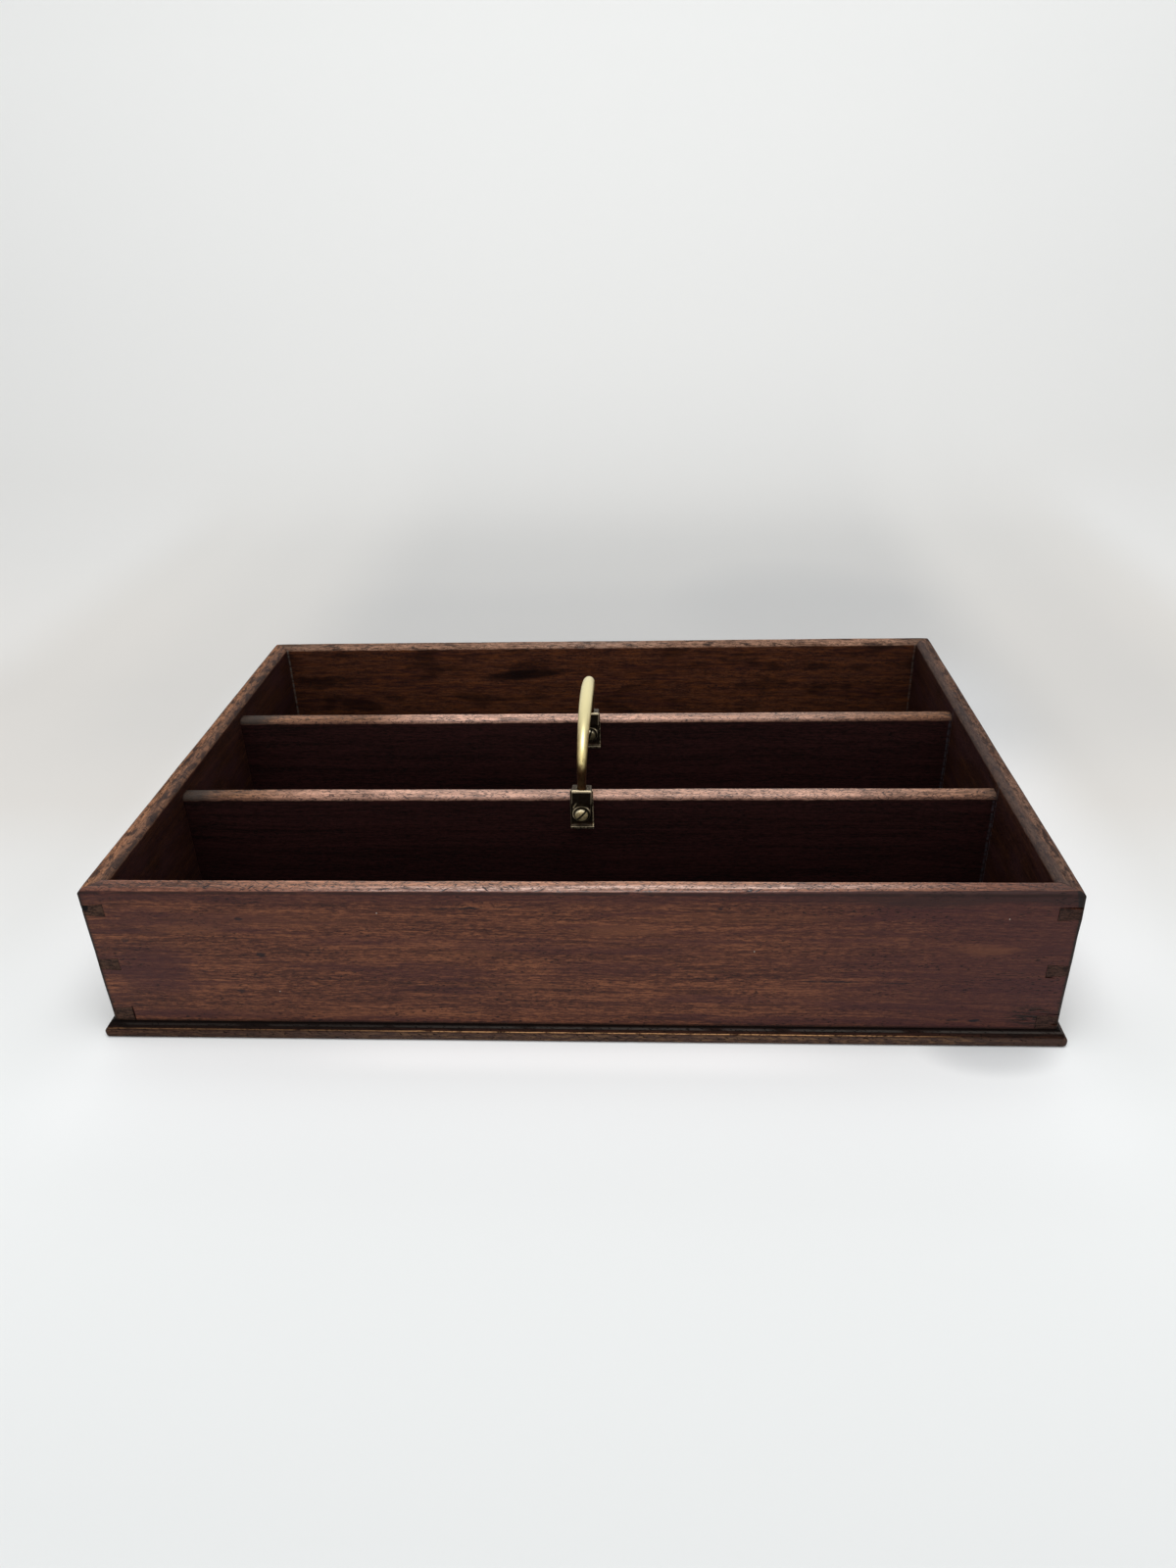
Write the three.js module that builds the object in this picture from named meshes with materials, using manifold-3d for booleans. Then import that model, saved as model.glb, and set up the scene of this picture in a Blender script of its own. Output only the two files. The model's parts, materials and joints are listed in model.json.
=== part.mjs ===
// A cutlery box: an open dovetailed case on a moulded base board, with two dividers that make three bays,
// and a brass bail handle that swings on a pivot screw in each divider.
// Millimetres, +Z up, +Y to the back. The origin is under the middle of the base board.
import * as THREE from "three";
import { mergeVertices } from "three/addons/utils/BufferGeometryUtils.js";
import Module from "manifold-3d";

const wasm = await Module();
wasm.setup();

// Case
const CASE_LENGTH = 400;
const CASE_DEPTH = 271;
const WALL_HEIGHT = 67.7;
const WALL_THICKNESS = 9.5;
const RIM_RADIUS = 2.6;
const CORNER_RADIUS = 1.6;

// Dovetails: three pins on each end of an end board, under a mitred top
const MITRE_HEIGHT = 7.4;
const FIRST_PIN_DROP = 7;
const PIN_ROOT = 6;
const PIN_TIP = 4.6;
const UPPER_TAIL = 21.5;
const HALF_PIN_ROOT = 7.2;
const HALF_PIN_TIP = 6.4;
const JOINT_GAP = 0.2;

// Base board, with its thumbnail moulding from the underside up
const BASE_THICKNESS = 6.5;
const BASE_OVERHANG = 4;
const BASE_CORNER_RADIUS = 2.2;
const LEAST_CORNER_RADIUS = 0.2;
const NOSE_HEIGHT = 3.7;
const NOSE_RADIUS = 1.4;
const STEP_HEIGHT = 0.5;
const SLOPE_BULGE = 0.7;

// Dividers, housed in the end boards
const DIVIDER_THICKNESS = 8;
const DIVIDER_DROP = 6.2;
const DIVIDER_EDGE_RADIUS = 2.2;
const FRONT_BAY = 78.7;
const MIDDLE_BAY = 75.9;
const HOUSING_DEPTH = 3;
const HOUSING_GAP = 0.3;

// Countersunk screws that hold the base board to the walls
const BASE_SCREW_LENGTH = 17;
const BASE_SCREW_RADIUS = 1.3;
const BASE_SCREW_TIP = 3;
const BASE_HEAD_RADIUS = 2.8;
const BASE_HEAD_HEIGHT = 1.7;
const BASE_HEAD_RECESS = 0.3;
const BASE_SCREW_GAP = 0.3;
const BASE_SLOT_WIDTH = 0.8;
const BASE_SLOT_DEPTH = 0.7;
const LONG_SIDE_INSET = 50;
const SHORT_SIDE_INSET = 66;
const SLOT_TURN = 40;

// Pivots: where the handle's fittings stand on the dividers
const FITTING_OFFSET = 0.3;
const PIVOT_DROP = 7;
const PIVOT_SHANK_RADIUS = 1.5;
const PIVOT_BITE = 6;
const PIVOT_HEAD_RADIUS = 3.2;
const PIVOT_HEAD_HEIGHT = 1.9;
const PIVOT_HEAD_EDGE = 0.5;
const PIVOT_SLOT_WIDTH = 0.8;
const PIVOT_SLOT_DEPTH = 1;
const PIVOT_SLOT_ANGLE = 45;
const SHANK_GAP = 0.15;
const RUNNING_GAP = 0.25;

// Pivot plates on the dividers' front faces
const PLATE_WIDTH = 10.8;
const PLATE_THICKNESS = 1;
const PLATE_ABOVE = 10.6;
const PLATE_BELOW = 9.4;
const PLATE_CORNER_RADIUS = 1;
const LIP_HEIGHT = 1.2;
const LIP_DEPTH = 1.6;

// Knuckles: a socket block for the bail's end, a neck, and an eye for the pivot screw
const BLOCK_WIDTH = 9.2;
const BLOCK_DEPTH = 6;
const BLOCK_BOTTOM = 6.6;
const BLOCK_TOP = 13.4;
const BLOCK_CHAMFER = 0.5;
const NECK_WIDTH = 7;
const NECK_BREAK = 3.4;
const EYE_RADIUS = 4.2;
const EYE_THICKNESS = 4;
const EYE_PROUD = 0.3;
const SOCKET_DEPTH = 6;
const SOCKET_GAP = 0.35;

// Bail: straight legs and an elliptical arch, thickest at the grip
const LEG_HEIGHT = 20.5;
const ARCH_RISE = 20.5;
const ARCH_SQUARENESS = 2.1;
const LEG_RADIUS = 2.05;
const GRIP_RADIUS = 3.2;
const HANDLE_LEAN = 2;

// Fineness of round forms
const ROUND_STEPS = 24;
const EDGE_STEPS = 4;
const ARCH_STEPS = 30;
const LEG_STEPS = 4;
const BAIL_SIDES = 18;

const CUT_OVERRUN = 2;

// Places worked out from the sizes above
const halfLength = CASE_LENGTH / 2;
const halfDepth = CASE_DEPTH / 2;
const rimHeight = BASE_THICKNESS + WALL_HEIGHT;
const dividerHeight = WALL_HEIGHT - DIVIDER_DROP;
const dividerTop = BASE_THICKNESS + dividerHeight;
const frontDividerFace = -halfDepth + WALL_THICKNESS + FRONT_BAY;
const rearDividerFace = frontDividerFace + DIVIDER_THICKNESS + MIDDLE_BAY;
const pivotHeight = dividerTop - PIVOT_DROP;
const knuckleBack = PLATE_THICKNESS + RUNNING_GAP;
const legStandoff = knuckleBack + BLOCK_DEPTH / 2;

const woods = {
  case: new THREE.MeshStandardMaterial({ color: 0x5a2a20, roughness: 0.5, metalness: 0, flatShading: true }),
  ends: new THREE.MeshStandardMaterial({ color: 0x54281d, roughness: 0.52, metalness: 0, flatShading: true }),
  divider: new THREE.MeshStandardMaterial({ color: 0x43201a, roughness: 0.55, metalness: 0, flatShading: true }),
  base: new THREE.MeshStandardMaterial({ color: 0x33201a, roughness: 0.5, metalness: 0, flatShading: true }),
};
const metals = {
  polishedBrass: new THREE.MeshStandardMaterial({ color: 0xc9ad62, roughness: 0.28, metalness: 1, flatShading: true }),
  oldBrass: new THREE.MeshStandardMaterial({ color: 0x5e5138, roughness: 0.45, metalness: 1, flatShading: true }),
  screwBrass: new THREE.MeshStandardMaterial({ color: 0xb09a62, roughness: 0.35, metalness: 1, flatShading: true }),
  iron: new THREE.MeshStandardMaterial({ color: 0x4a4340, roughness: 0.6, metalness: 1, flatShading: true }),
};

// A closed geometry as a solid that can be joined and cut.
function solid(geometry) {
  const bare = geometry.clone();
  bare.deleteAttribute("normal");
  bare.deleteAttribute("uv");
  const merged = mergeVertices(bare, 1e-4);
  return new wasm.Manifold(
    new wasm.Mesh({
      numProp: 3,
      vertProperties: new Float32Array(merged.attributes.position.array),
      triVerts: new Uint32Array(merged.index.array),
    }),
  );
}

function geometryOf(body) {
  const mesh = body.getMesh();
  const geometry = new THREE.BufferGeometry();
  geometry.setAttribute("position", new THREE.BufferAttribute(mesh.vertProperties, 3));
  geometry.setIndex(new THREE.BufferAttribute(mesh.triVerts, 1));
  return geometry;
}

// A prism of the shape, centred along its own axis. Along x the shape lies in y and z, along y it lies in x and z.
function prism(shape, length, axis) {
  const geometry = new THREE.ExtrudeGeometry(shape, {
    depth: length,
    bevelEnabled: false,
    curveSegments: EDGE_STEPS,
  });
  geometry.translate(0, 0, -length / 2);
  const x = new THREE.Vector3(1, 0, 0);
  const y = new THREE.Vector3(0, 1, 0);
  const z = new THREE.Vector3(0, 0, 1);
  if (axis === "x") geometry.applyMatrix4(new THREE.Matrix4().makeBasis(y, z, x));
  if (axis === "y") geometry.applyMatrix4(new THREE.Matrix4().makeBasis(x, z, y.negate()));
  return solid(geometry);
}

// A body turned round its axis from [radius, height] points that start and end on the axis, pointing up.
function turned(profile) {
  const points = profile.map(([radius, height]) => new THREE.Vector2(radius, height));
  return solid(new THREE.LatheGeometry(points, ROUND_STEPS).rotateX(Math.PI / 2));
}

function rod(radius, length) {
  return turned([[0, -length / 2], [radius, -length / 2], [radius, length / 2], [0, length / 2]]);
}

function box(width, depth, height) {
  return solid(new THREE.BoxGeometry(width, depth, height));
}

function polygon(points) {
  return new THREE.Shape(points.map(([u, v]) => new THREE.Vector2(u, v)));
}

// A board's end view: flat below, with both top edges rounded.
function boardSection(thickness, height, radius) {
  const half = thickness / 2;
  const shape = new THREE.Shape();
  shape.moveTo(-half, 0);
  shape.lineTo(half, 0);
  shape.absarc(half - radius, height - radius, radius, 0, Math.PI / 2);
  shape.absarc(-half + radius, height - radius, radius, Math.PI / 2, Math.PI);
  shape.closePath();
  return shape;
}

// The dovetail pins of one corner, grown by a gap. They taper from the wall's inner face to its outer face, and run
// on past the inner face by the overrun.
function pinsAt(sideX, sideY, gap, overrun) {
  const outer = -CUT_OVERRUN;
  const inner = WALL_THICKNESS + overrun;
  const heightAt = (tip, root, depth) => tip + ((root - tip) * depth) / WALL_THICKNESS;
  const outlines = [];
  const firstMiddle = rimHeight - FIRST_PIN_DROP - PIN_ROOT / 2;
  for (const middle of [firstMiddle, firstMiddle - PIN_ROOT - UPPER_TAIL]) {
    const atInner = heightAt(PIN_TIP, PIN_ROOT, inner) / 2 + gap;
    const atOuter = heightAt(PIN_TIP, PIN_ROOT, outer) / 2 + gap;
    outlines.push([
      [inner, middle - atInner],
      [inner, middle + atInner],
      [outer, middle + atOuter],
      [outer, middle - atOuter],
    ]);
  }
  outlines.push([
    [inner, BASE_THICKNESS - CUT_OVERRUN],
    [inner, BASE_THICKNESS + heightAt(HALF_PIN_TIP, HALF_PIN_ROOT, inner) + gap],
    [outer, BASE_THICKNESS + heightAt(HALF_PIN_TIP, HALF_PIN_ROOT, outer) + gap],
    [outer, BASE_THICKNESS - CUT_OVERRUN],
  ]);
  const length = WALL_THICKNESS + 2 * CUT_OVERRUN;
  return outlines
    .map((points) => prism(polygon(points), length, "y").scale([-sideX, 1, 1]))
    .reduce((all, pin) => all.add(pin))
    .translate([sideX * halfLength, sideY * (halfDepth - WALL_THICKNESS / 2), 0]);
}

// The end board's side of one corner's mitre, from the outer corner to the inner one, over the pins.
function mitreAt(sideX, sideY, shift) {
  const reach = WALL_THICKNESS + CUT_OVERRUN;
  const triangle = polygon([
    [-CUT_OVERRUN, -CUT_OVERRUN + shift],
    [reach, reach + shift],
    [-CUT_OVERRUN, reach + shift],
  ]);
  const height = MITRE_HEIGHT + CUT_OVERRUN;
  return prism(triangle, height, "z")
    .scale([-sideX, -sideY, 1])
    .translate([sideX * halfLength, sideY * halfDepth, rimHeight - MITRE_HEIGHT + height / 2]);
}

// What rounding takes off one upright corner of the case: all that lies outside the flats of a quarter round, whose
// end flats run on past the faces.
function cornerWaste(sideX, sideY) {
  const outline = [];
  for (let i = 0; i <= EDGE_STEPS; i++) {
    const a = (i / EDGE_STEPS) * (Math.PI / 2);
    outline.push(new THREE.Vector2(Math.cos(a) - 1, Math.sin(a) - 1).multiplyScalar(CORNER_RADIUS));
  }
  const runOn = CUT_OVERRUN / outline[0].distanceTo(outline[1]);
  const first = outline[0].clone().lerp(outline[1], -runOn);
  const last = outline[EDGE_STEPS].clone().lerp(outline[EDGE_STEPS - 1], -runOn);
  const far = new THREE.Vector2(2 * CUT_OVERRUN, 2 * CUT_OVERRUN);
  const shape = new THREE.Shape([first, ...outline.slice(1, -1), last, far].reverse());
  return prism(shape, WALL_HEIGHT + 2 * CUT_OVERRUN, "z")
    .scale([sideX, sideY, 1])
    .translate([sideX * halfLength, sideY * halfDepth, BASE_THICKNESS + WALL_HEIGHT / 2]);
}

// A countersunk screw's outline from its head up, grown by a gap.
function screwProfile(gap) {
  const low = BASE_HEAD_RECESS - (gap > 0 ? BASE_HEAD_RECESS + CUT_OVERRUN : 0);
  const neck = BASE_HEAD_RECESS + BASE_HEAD_HEIGHT;
  const point = BASE_HEAD_RECESS + BASE_SCREW_LENGTH;
  return [
    [0, low],
    [BASE_HEAD_RADIUS + gap, low],
    [BASE_HEAD_RADIUS + gap, BASE_HEAD_RECESS + gap],
    [BASE_SCREW_RADIUS + gap, neck + gap],
    [BASE_SCREW_RADIUS + gap, point - BASE_SCREW_TIP + gap],
    [0, point + gap],
  ];
}

// The middle of each base screw, along the middle of the wall above it.
function baseScrewPlaces() {
  const wallX = halfLength - WALL_THICKNESS / 2;
  const wallY = halfDepth - WALL_THICKNESS / 2;
  const places = [];
  for (const side of [-1, 1]) {
    for (const x of [-1, 0, 1]) places.push([x * (halfLength - LONG_SIDE_INSET), side * wallY]);
    for (const y of [-1, 1]) places.push([side * wallX, y * (halfDepth - SHORT_SIDE_INSET)]);
  }
  return places;
}

const screwPlaces = baseScrewPlaces();

function withScrewHoles(body) {
  const hole = turned(screwProfile(BASE_SCREW_GAP));
  return screwPlaces.reduce((cut, [x, y]) => cut.subtract(hole.translate([x, y, 0])), body);
}

function baseScrew(turn) {
  const width = 2 * (BASE_HEAD_RADIUS + CUT_OVERRUN);
  const slot = box(width, BASE_SLOT_WIDTH, 2 * BASE_SLOT_DEPTH)
    .rotate([0, 0, turn])
    .translate([0, 0, BASE_HEAD_RECESS]);
  return turned(screwProfile(0)).subtract(slot);
}

// The front or back board: full length, with sockets for the pins.
function longBoard(sideY) {
  const section = boardSection(WALL_THICKNESS, WALL_HEIGHT, RIM_RADIUS);
  let body = prism(section, CASE_LENGTH, "x");
  body = body.translate([0, sideY * (halfDepth - WALL_THICKNESS / 2), BASE_THICKNESS]);
  for (const sideX of [-1, 1]) {
    body = body
      .subtract(pinsAt(sideX, sideY, JOINT_GAP, JOINT_GAP))
      .subtract(mitreAt(sideX, sideY, -JOINT_GAP / 2))
      .subtract(cornerWaste(sideX, sideY));
  }
  return withScrewHoles(body);
}

// The room that a divider's end takes in an end board.
function housings() {
  const section = boardSection(
    DIVIDER_THICKNESS + 2 * HOUSING_GAP,
    dividerHeight + HOUSING_GAP + CUT_OVERRUN,
    DIVIDER_EDGE_RADIUS + HOUSING_GAP,
  );
  const length = CASE_LENGTH - 2 * WALL_THICKNESS + 2 * (HOUSING_DEPTH + HOUSING_GAP);
  const tool = prism(section, length, "x").translate([0, 0, BASE_THICKNESS - CUT_OVERRUN]);
  const faces = [frontDividerFace, rearDividerFace];
  return faces.map((face) => tool.translate([0, face + DIVIDER_THICKNESS / 2, 0]));
}

// An end board: the pins and the mitre are what is left of its corners.
function endBoard(sideX) {
  const section = boardSection(WALL_THICKNESS, WALL_HEIGHT, RIM_RADIUS);
  let body = prism(section, CASE_DEPTH, "y");
  body = body.translate([sideX * (halfLength - WALL_THICKNESS / 2), 0, BASE_THICKNESS]);
  for (const sideY of [-1, 1]) {
    const width = WALL_THICKNESS + 2 * CUT_OVERRUN;
    const depth = WALL_THICKNESS + JOINT_GAP + CUT_OVERRUN;
    const corner = box(width, depth, WALL_HEIGHT + 2 * CUT_OVERRUN).translate([
      sideX * (halfLength - WALL_THICKNESS / 2),
      sideY * (halfDepth + CUT_OVERRUN - depth / 2),
      BASE_THICKNESS + WALL_HEIGHT / 2,
    ]);
    const waste = corner
      .subtract(pinsAt(sideX, sideY, 0, CUT_OVERRUN))
      .subtract(mitreAt(sideX, sideY, JOINT_GAP / 2));
    body = body.subtract(waste).subtract(cornerWaste(sideX, sideY));
  }
  for (const housing of housings()) body = body.subtract(housing);
  return withScrewHoles(body);
}

// A divider board, with the blind hole for its pivot screw.
function divider(face) {
  const section = boardSection(DIVIDER_THICKNESS, dividerHeight, DIVIDER_EDGE_RADIUS);
  const length = CASE_LENGTH - 2 * WALL_THICKNESS + 2 * HOUSING_DEPTH;
  const depth = PIVOT_BITE + SHANK_GAP + CUT_OVERRUN;
  const hole = rod(PIVOT_SHANK_RADIUS + SHANK_GAP, depth).rotate([90, 0, 0]);
  return prism(section, length, "x")
    .translate([0, face + DIVIDER_THICKNESS / 2, BASE_THICKNESS])
    .subtract(hole.translate([FITTING_OFFSET, face + depth / 2 - CUT_OVERRUN, pivotHeight]));
}

// The moulding's [inset, height] points, from the underside to the foot of the wall.
function mouldingProfile() {
  const points = [];
  const upper = NOSE_HEIGHT - NOSE_RADIUS;
  for (let i = 0; i <= EDGE_STEPS; i++) {
    const a = (i / EDGE_STEPS) * (Math.PI / 2);
    points.push([NOSE_RADIUS * (1 - Math.sin(a)), NOSE_RADIUS * (1 - Math.cos(a))]);
  }
  for (let i = 0; i <= EDGE_STEPS; i++) {
    const a = (i / EDGE_STEPS) * (Math.PI / 2);
    points.push([NOSE_RADIUS * (1 - Math.cos(a)), upper + NOSE_RADIUS * Math.sin(a)]);
  }
  const step = new THREE.Vector2(NOSE_RADIUS, NOSE_HEIGHT + STEP_HEIGHT);
  const foot = new THREE.Vector2(BASE_OVERHANG, BASE_THICKNESS);
  const bulge = new THREE.Vector2((step.x + foot.x) / 2 - SLOPE_BULGE, (step.y + foot.y) / 2 + SLOPE_BULGE);
  for (const point of new THREE.QuadraticBezierCurve(step, bulge, foot).getPoints(EDGE_STEPS)) {
    points.push([point.x, point.y]);
  }
  return points;
}

// The base board: one rounded rectangle above another, each inset as the moulding is.
function baseBoard() {
  const profile = mouldingProfile();
  const ring = 4 * (EDGE_STEPS + 1);
  const positions = [];
  for (const [inset, height] of profile) {
    const radius = Math.max(BASE_CORNER_RADIUS - inset, LEAST_CORNER_RADIUS);
    const x = halfLength + BASE_OVERHANG - inset - radius;
    const y = halfDepth + BASE_OVERHANG - inset - radius;
    for (const [corner, [sideX, sideY]] of [[1, 1], [-1, 1], [-1, -1], [1, -1]].entries()) {
      for (let i = 0; i <= EDGE_STEPS; i++) {
        const a = (corner + i / EDGE_STEPS) * (Math.PI / 2);
        positions.push(sideX * x + radius * Math.cos(a), sideY * y + radius * Math.sin(a), height);
      }
    }
  }
  const index = [];
  for (let level = 0; level + 1 < profile.length; level++) {
    for (let i = 0; i < ring; i++) {
      const a = level * ring + i;
      const b = level * ring + ((i + 1) % ring);
      index.push(a, b, b + ring, a, b + ring, a + ring);
    }
  }
  const top = (profile.length - 1) * ring;
  for (let i = 1; i + 1 < ring; i++) {
    index.push(0, i + 1, i);
    index.push(top, top + i, top + i + 1);
  }
  const geometry = new THREE.BufferGeometry();
  geometry.setAttribute("position", new THREE.Float32BufferAttribute(positions, 3));
  geometry.setIndex(index);
  return withScrewHoles(solid(geometry));
}

// The pivot fittings are made round the pivot's axis, with the divider's face at y = 0 and the front at -y.
function pivotPlate() {
  const half = PLATE_WIDTH / 2;
  const arcX = half - PLATE_CORNER_RADIUS;
  const arcZ = PLATE_ABOVE - PLATE_CORNER_RADIUS;
  const outline = new THREE.Shape();
  outline.moveTo(-half, -PLATE_BELOW);
  outline.lineTo(half, -PLATE_BELOW);
  outline.absarc(arcX, arcZ, PLATE_CORNER_RADIUS, 0, Math.PI / 2);
  outline.absarc(-arcX, arcZ, PLATE_CORNER_RADIUS, Math.PI / 2, Math.PI);
  outline.closePath();
  const lipFront = -PLATE_THICKNESS - LIP_DEPTH;
  const lipTop = LIP_HEIGHT - PLATE_BELOW;
  const top = PLATE_ABOVE + CUT_OVERRUN;
  const bottom = -PLATE_BELOW - CUT_OVERRUN;
  const side = polygon([
    [0, bottom],
    [0, top],
    [-PLATE_THICKNESS, top],
    [-PLATE_THICKNESS, lipTop],
    [lipFront, lipTop],
    [lipFront, bottom],
  ]);
  const hole = rod(PIVOT_SHANK_RADIUS + SHANK_GAP, 2 * CUT_OVERRUN + PLATE_THICKNESS).rotate([90, 0, 0]);
  return prism(outline, -2 * lipFront + CUT_OVERRUN, "y")
    .intersect(prism(side, PLATE_WIDTH + CUT_OVERRUN, "x"))
    .subtract(hole);
}

function knuckle() {
  const front = knuckleBack + BLOCK_DEPTH;
  const eyeFront = knuckleBack + EYE_THICKNESS;
  const neckFace = eyeFront - EYE_PROUD;
  const half = BLOCK_WIDTH / 2;
  const bevel = BLOCK_TOP - BLOCK_CHAMFER;
  const frontView = polygon([
    [-NECK_WIDTH / 2, 0],
    [NECK_WIDTH / 2, 0],
    [half, BLOCK_BOTTOM],
    [half, bevel],
    [half - BLOCK_CHAMFER, BLOCK_TOP],
    [BLOCK_CHAMFER - half, BLOCK_TOP],
    [-half, bevel],
    [-half, BLOCK_BOTTOM],
  ]);
  const sideView = polygon([
    [0, -CUT_OVERRUN],
    [0, BLOCK_TOP + CUT_OVERRUN],
    [-front, BLOCK_TOP + CUT_OVERRUN],
    [-front, BLOCK_BOTTOM],
    [-neckFace, NECK_BREAK],
    [-neckFace, -CUT_OVERRUN],
  ]);
  const body = prism(frontView, 2 * front + CUT_OVERRUN, "y").intersect(
    prism(sideView, BLOCK_WIDTH + CUT_OVERRUN, "x"),
  );
  const eye = rod(EYE_RADIUS, eyeFront).rotate([90, 0, 0]).translate([0, -eyeFront / 2, 0]);
  const height = 2 * (BLOCK_TOP + CUT_OVERRUN);
  const behind = box(2 * BLOCK_WIDTH, 2 * knuckleBack, height);
  const eyeHole = rod(PIVOT_SHANK_RADIUS + SHANK_GAP, 2 * front).rotate([90, 0, 0]);
  const socket = rod(LEG_RADIUS + SOCKET_GAP, SOCKET_DEPTH + CUT_OVERRUN);
  return body
    .add(eye)
    .subtract(behind)
    .subtract(eyeHole)
    .subtract(socket.translate([0, -legStandoff, BLOCK_TOP + (CUT_OVERRUN - SOCKET_DEPTH) / 2]));
}

// A dome-headed slotted screw through the eye and the plate into the divider.
function pivotScrew() {
  const seat = knuckleBack + EYE_THICKNESS + RUNNING_GAP;
  const dome = [];
  for (let i = 0; i <= EDGE_STEPS; i++) {
    const a = (i / EDGE_STEPS) * (Math.PI / 2);
    const height = PIVOT_HEAD_EDGE + (PIVOT_HEAD_HEIGHT - PIVOT_HEAD_EDGE) * Math.sin(a);
    dome.push([PIVOT_HEAD_RADIUS * Math.cos(a), seat + height]);
  }
  dome[EDGE_STEPS][0] = 0;
  const profile = [
    [0, -PIVOT_BITE],
    [PIVOT_SHANK_RADIUS, -PIVOT_BITE + PIVOT_SHANK_RADIUS],
    [PIVOT_SHANK_RADIUS, seat],
    [PIVOT_HEAD_RADIUS, seat],
    ...dome,
  ];
  const slot = box(2 * PIVOT_HEAD_RADIUS + CUT_OVERRUN, PIVOT_SLOT_WIDTH, 2 * PIVOT_SLOT_DEPTH)
    .rotate([0, 0, PIVOT_SLOT_ANGLE])
    .translate([0, 0, seat + PIVOT_HEAD_HEIGHT]);
  return turned(profile).subtract(slot).rotate([90, 0, 0]);
}

// The bail's centre line in its own plane, from one socket over the grip to the other, as y and z.
function bailLine() {
  const half = (rearDividerFace - frontDividerFace) / 2;
  const middle = (rearDividerFace + frontDividerFace) / 2 - legStandoff;
  const foot = BLOCK_TOP - SOCKET_DEPTH + SOCKET_GAP;
  const points = [];
  for (let i = 0; i < LEG_STEPS; i++) {
    const z = foot + ((LEG_HEIGHT - foot) * i) / LEG_STEPS;
    points.push(new THREE.Vector3(0, middle - half, z));
  }
  for (let i = 0; i <= ARCH_STEPS; i++) {
    const a = (Math.PI * i) / ARCH_STEPS;
    const power = 2 / ARCH_SQUARENESS;
    const across = Math.sign(Math.cos(a)) * Math.abs(Math.cos(a)) ** power;
    const rise = Math.sin(a) ** power;
    points.push(new THREE.Vector3(0, middle - half * across, LEG_HEIGHT + ARCH_RISE * rise));
  }
  for (let i = LEG_STEPS - 1; i >= 0; i--) {
    points.push(new THREE.Vector3(0, middle + half, points[i].z));
  }
  return points;
}

// The bail: round sections square to the centre line, thin in the sockets and thickest at the grip.
function bail() {
  const line = bailLine();
  const distances = [0];
  for (let i = 1; i < line.length; i++) distances.push(distances[i - 1] + line[i].distanceTo(line[i - 1]));
  const whole = distances[line.length - 1];
  const socketShare = (SOCKET_DEPTH - SOCKET_GAP) / whole;
  const positions = [];
  const across = new THREE.Vector3(1, 0, 0);
  for (const [i, centre] of line.entries()) {
    const before = line[Math.max(i - 1, 0)];
    const after = line[Math.min(i + 1, line.length - 1)];
    const tangent = after.clone().sub(before).normalize();
    const normal = new THREE.Vector3().crossVectors(tangent, across);
    const along = Math.min(distances[i], whole - distances[i]) / whole;
    const swell = Math.max(0, (along - socketShare) / (0.5 - socketShare));
    const radius = LEG_RADIUS + (GRIP_RADIUS - LEG_RADIUS) * Math.sin((Math.PI / 2) * swell);
    for (let k = 0; k < BAIL_SIDES; k++) {
      const a = (2 * Math.PI * k) / BAIL_SIDES;
      const point = centre.clone();
      point.addScaledVector(across, radius * Math.cos(a)).addScaledVector(normal, radius * Math.sin(a));
      positions.push(...point.toArray());
    }
  }
  const index = [];
  for (let i = 0; i + 1 < line.length; i++) {
    for (let k = 0; k < BAIL_SIDES; k++) {
      const a = i * BAIL_SIDES + k;
      const b = i * BAIL_SIDES + ((k + 1) % BAIL_SIDES);
      index.push(a, b, b + BAIL_SIDES, a, b + BAIL_SIDES, a + BAIL_SIDES);
    }
  }
  const last = (line.length - 1) * BAIL_SIDES;
  for (let k = 1; k + 1 < BAIL_SIDES; k++) {
    index.push(0, k + 1, k);
    index.push(last, last + k, last + k + 1);
  }
  const geometry = new THREE.BufferGeometry();
  geometry.setAttribute("position", new THREE.Float32BufferAttribute(positions, 3));
  geometry.setIndex(index);
  return geometry;
}

function piece(name, geometry, material) {
  const mesh = new THREE.Mesh(geometry, material.clone());
  mesh.name = name;
  return mesh;
}

const cutleryBox = new THREE.Group();

cutleryBox.add(
  piece("base_board", geometryOf(baseBoard()), woods.base),
  piece("front_board", geometryOf(longBoard(-1)), woods.case),
  piece("back_board", geometryOf(longBoard(1)), woods.case),
  piece("left_end_board", geometryOf(endBoard(-1)), woods.ends),
  piece("right_end_board", geometryOf(endBoard(1)), woods.ends),
  piece("front_divider", geometryOf(divider(frontDividerFace)), woods.divider),
  piece("rear_divider", geometryOf(divider(rearDividerFace)), woods.divider),
);

for (const [i, [x, y]] of screwPlaces.entries()) {
  const screw = piece(`base_screw_${i + 1}`, geometryOf(baseScrew(i * SLOT_TURN)), metals.iron);
  screw.position.set(x, y, 0);
  cutleryBox.add(screw);
}

// What swings: the bail and its two knuckles, about the line through both pivot screws.
const handle = new THREE.Group();
handle.position.set(FITTING_OFFSET, 0, pivotHeight);
handle.rotation.y = THREE.MathUtils.degToRad(HANDLE_LEAN);
handle.add(piece("handle_bail", bail(), metals.polishedBrass));
cutleryBox.add(handle);

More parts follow.
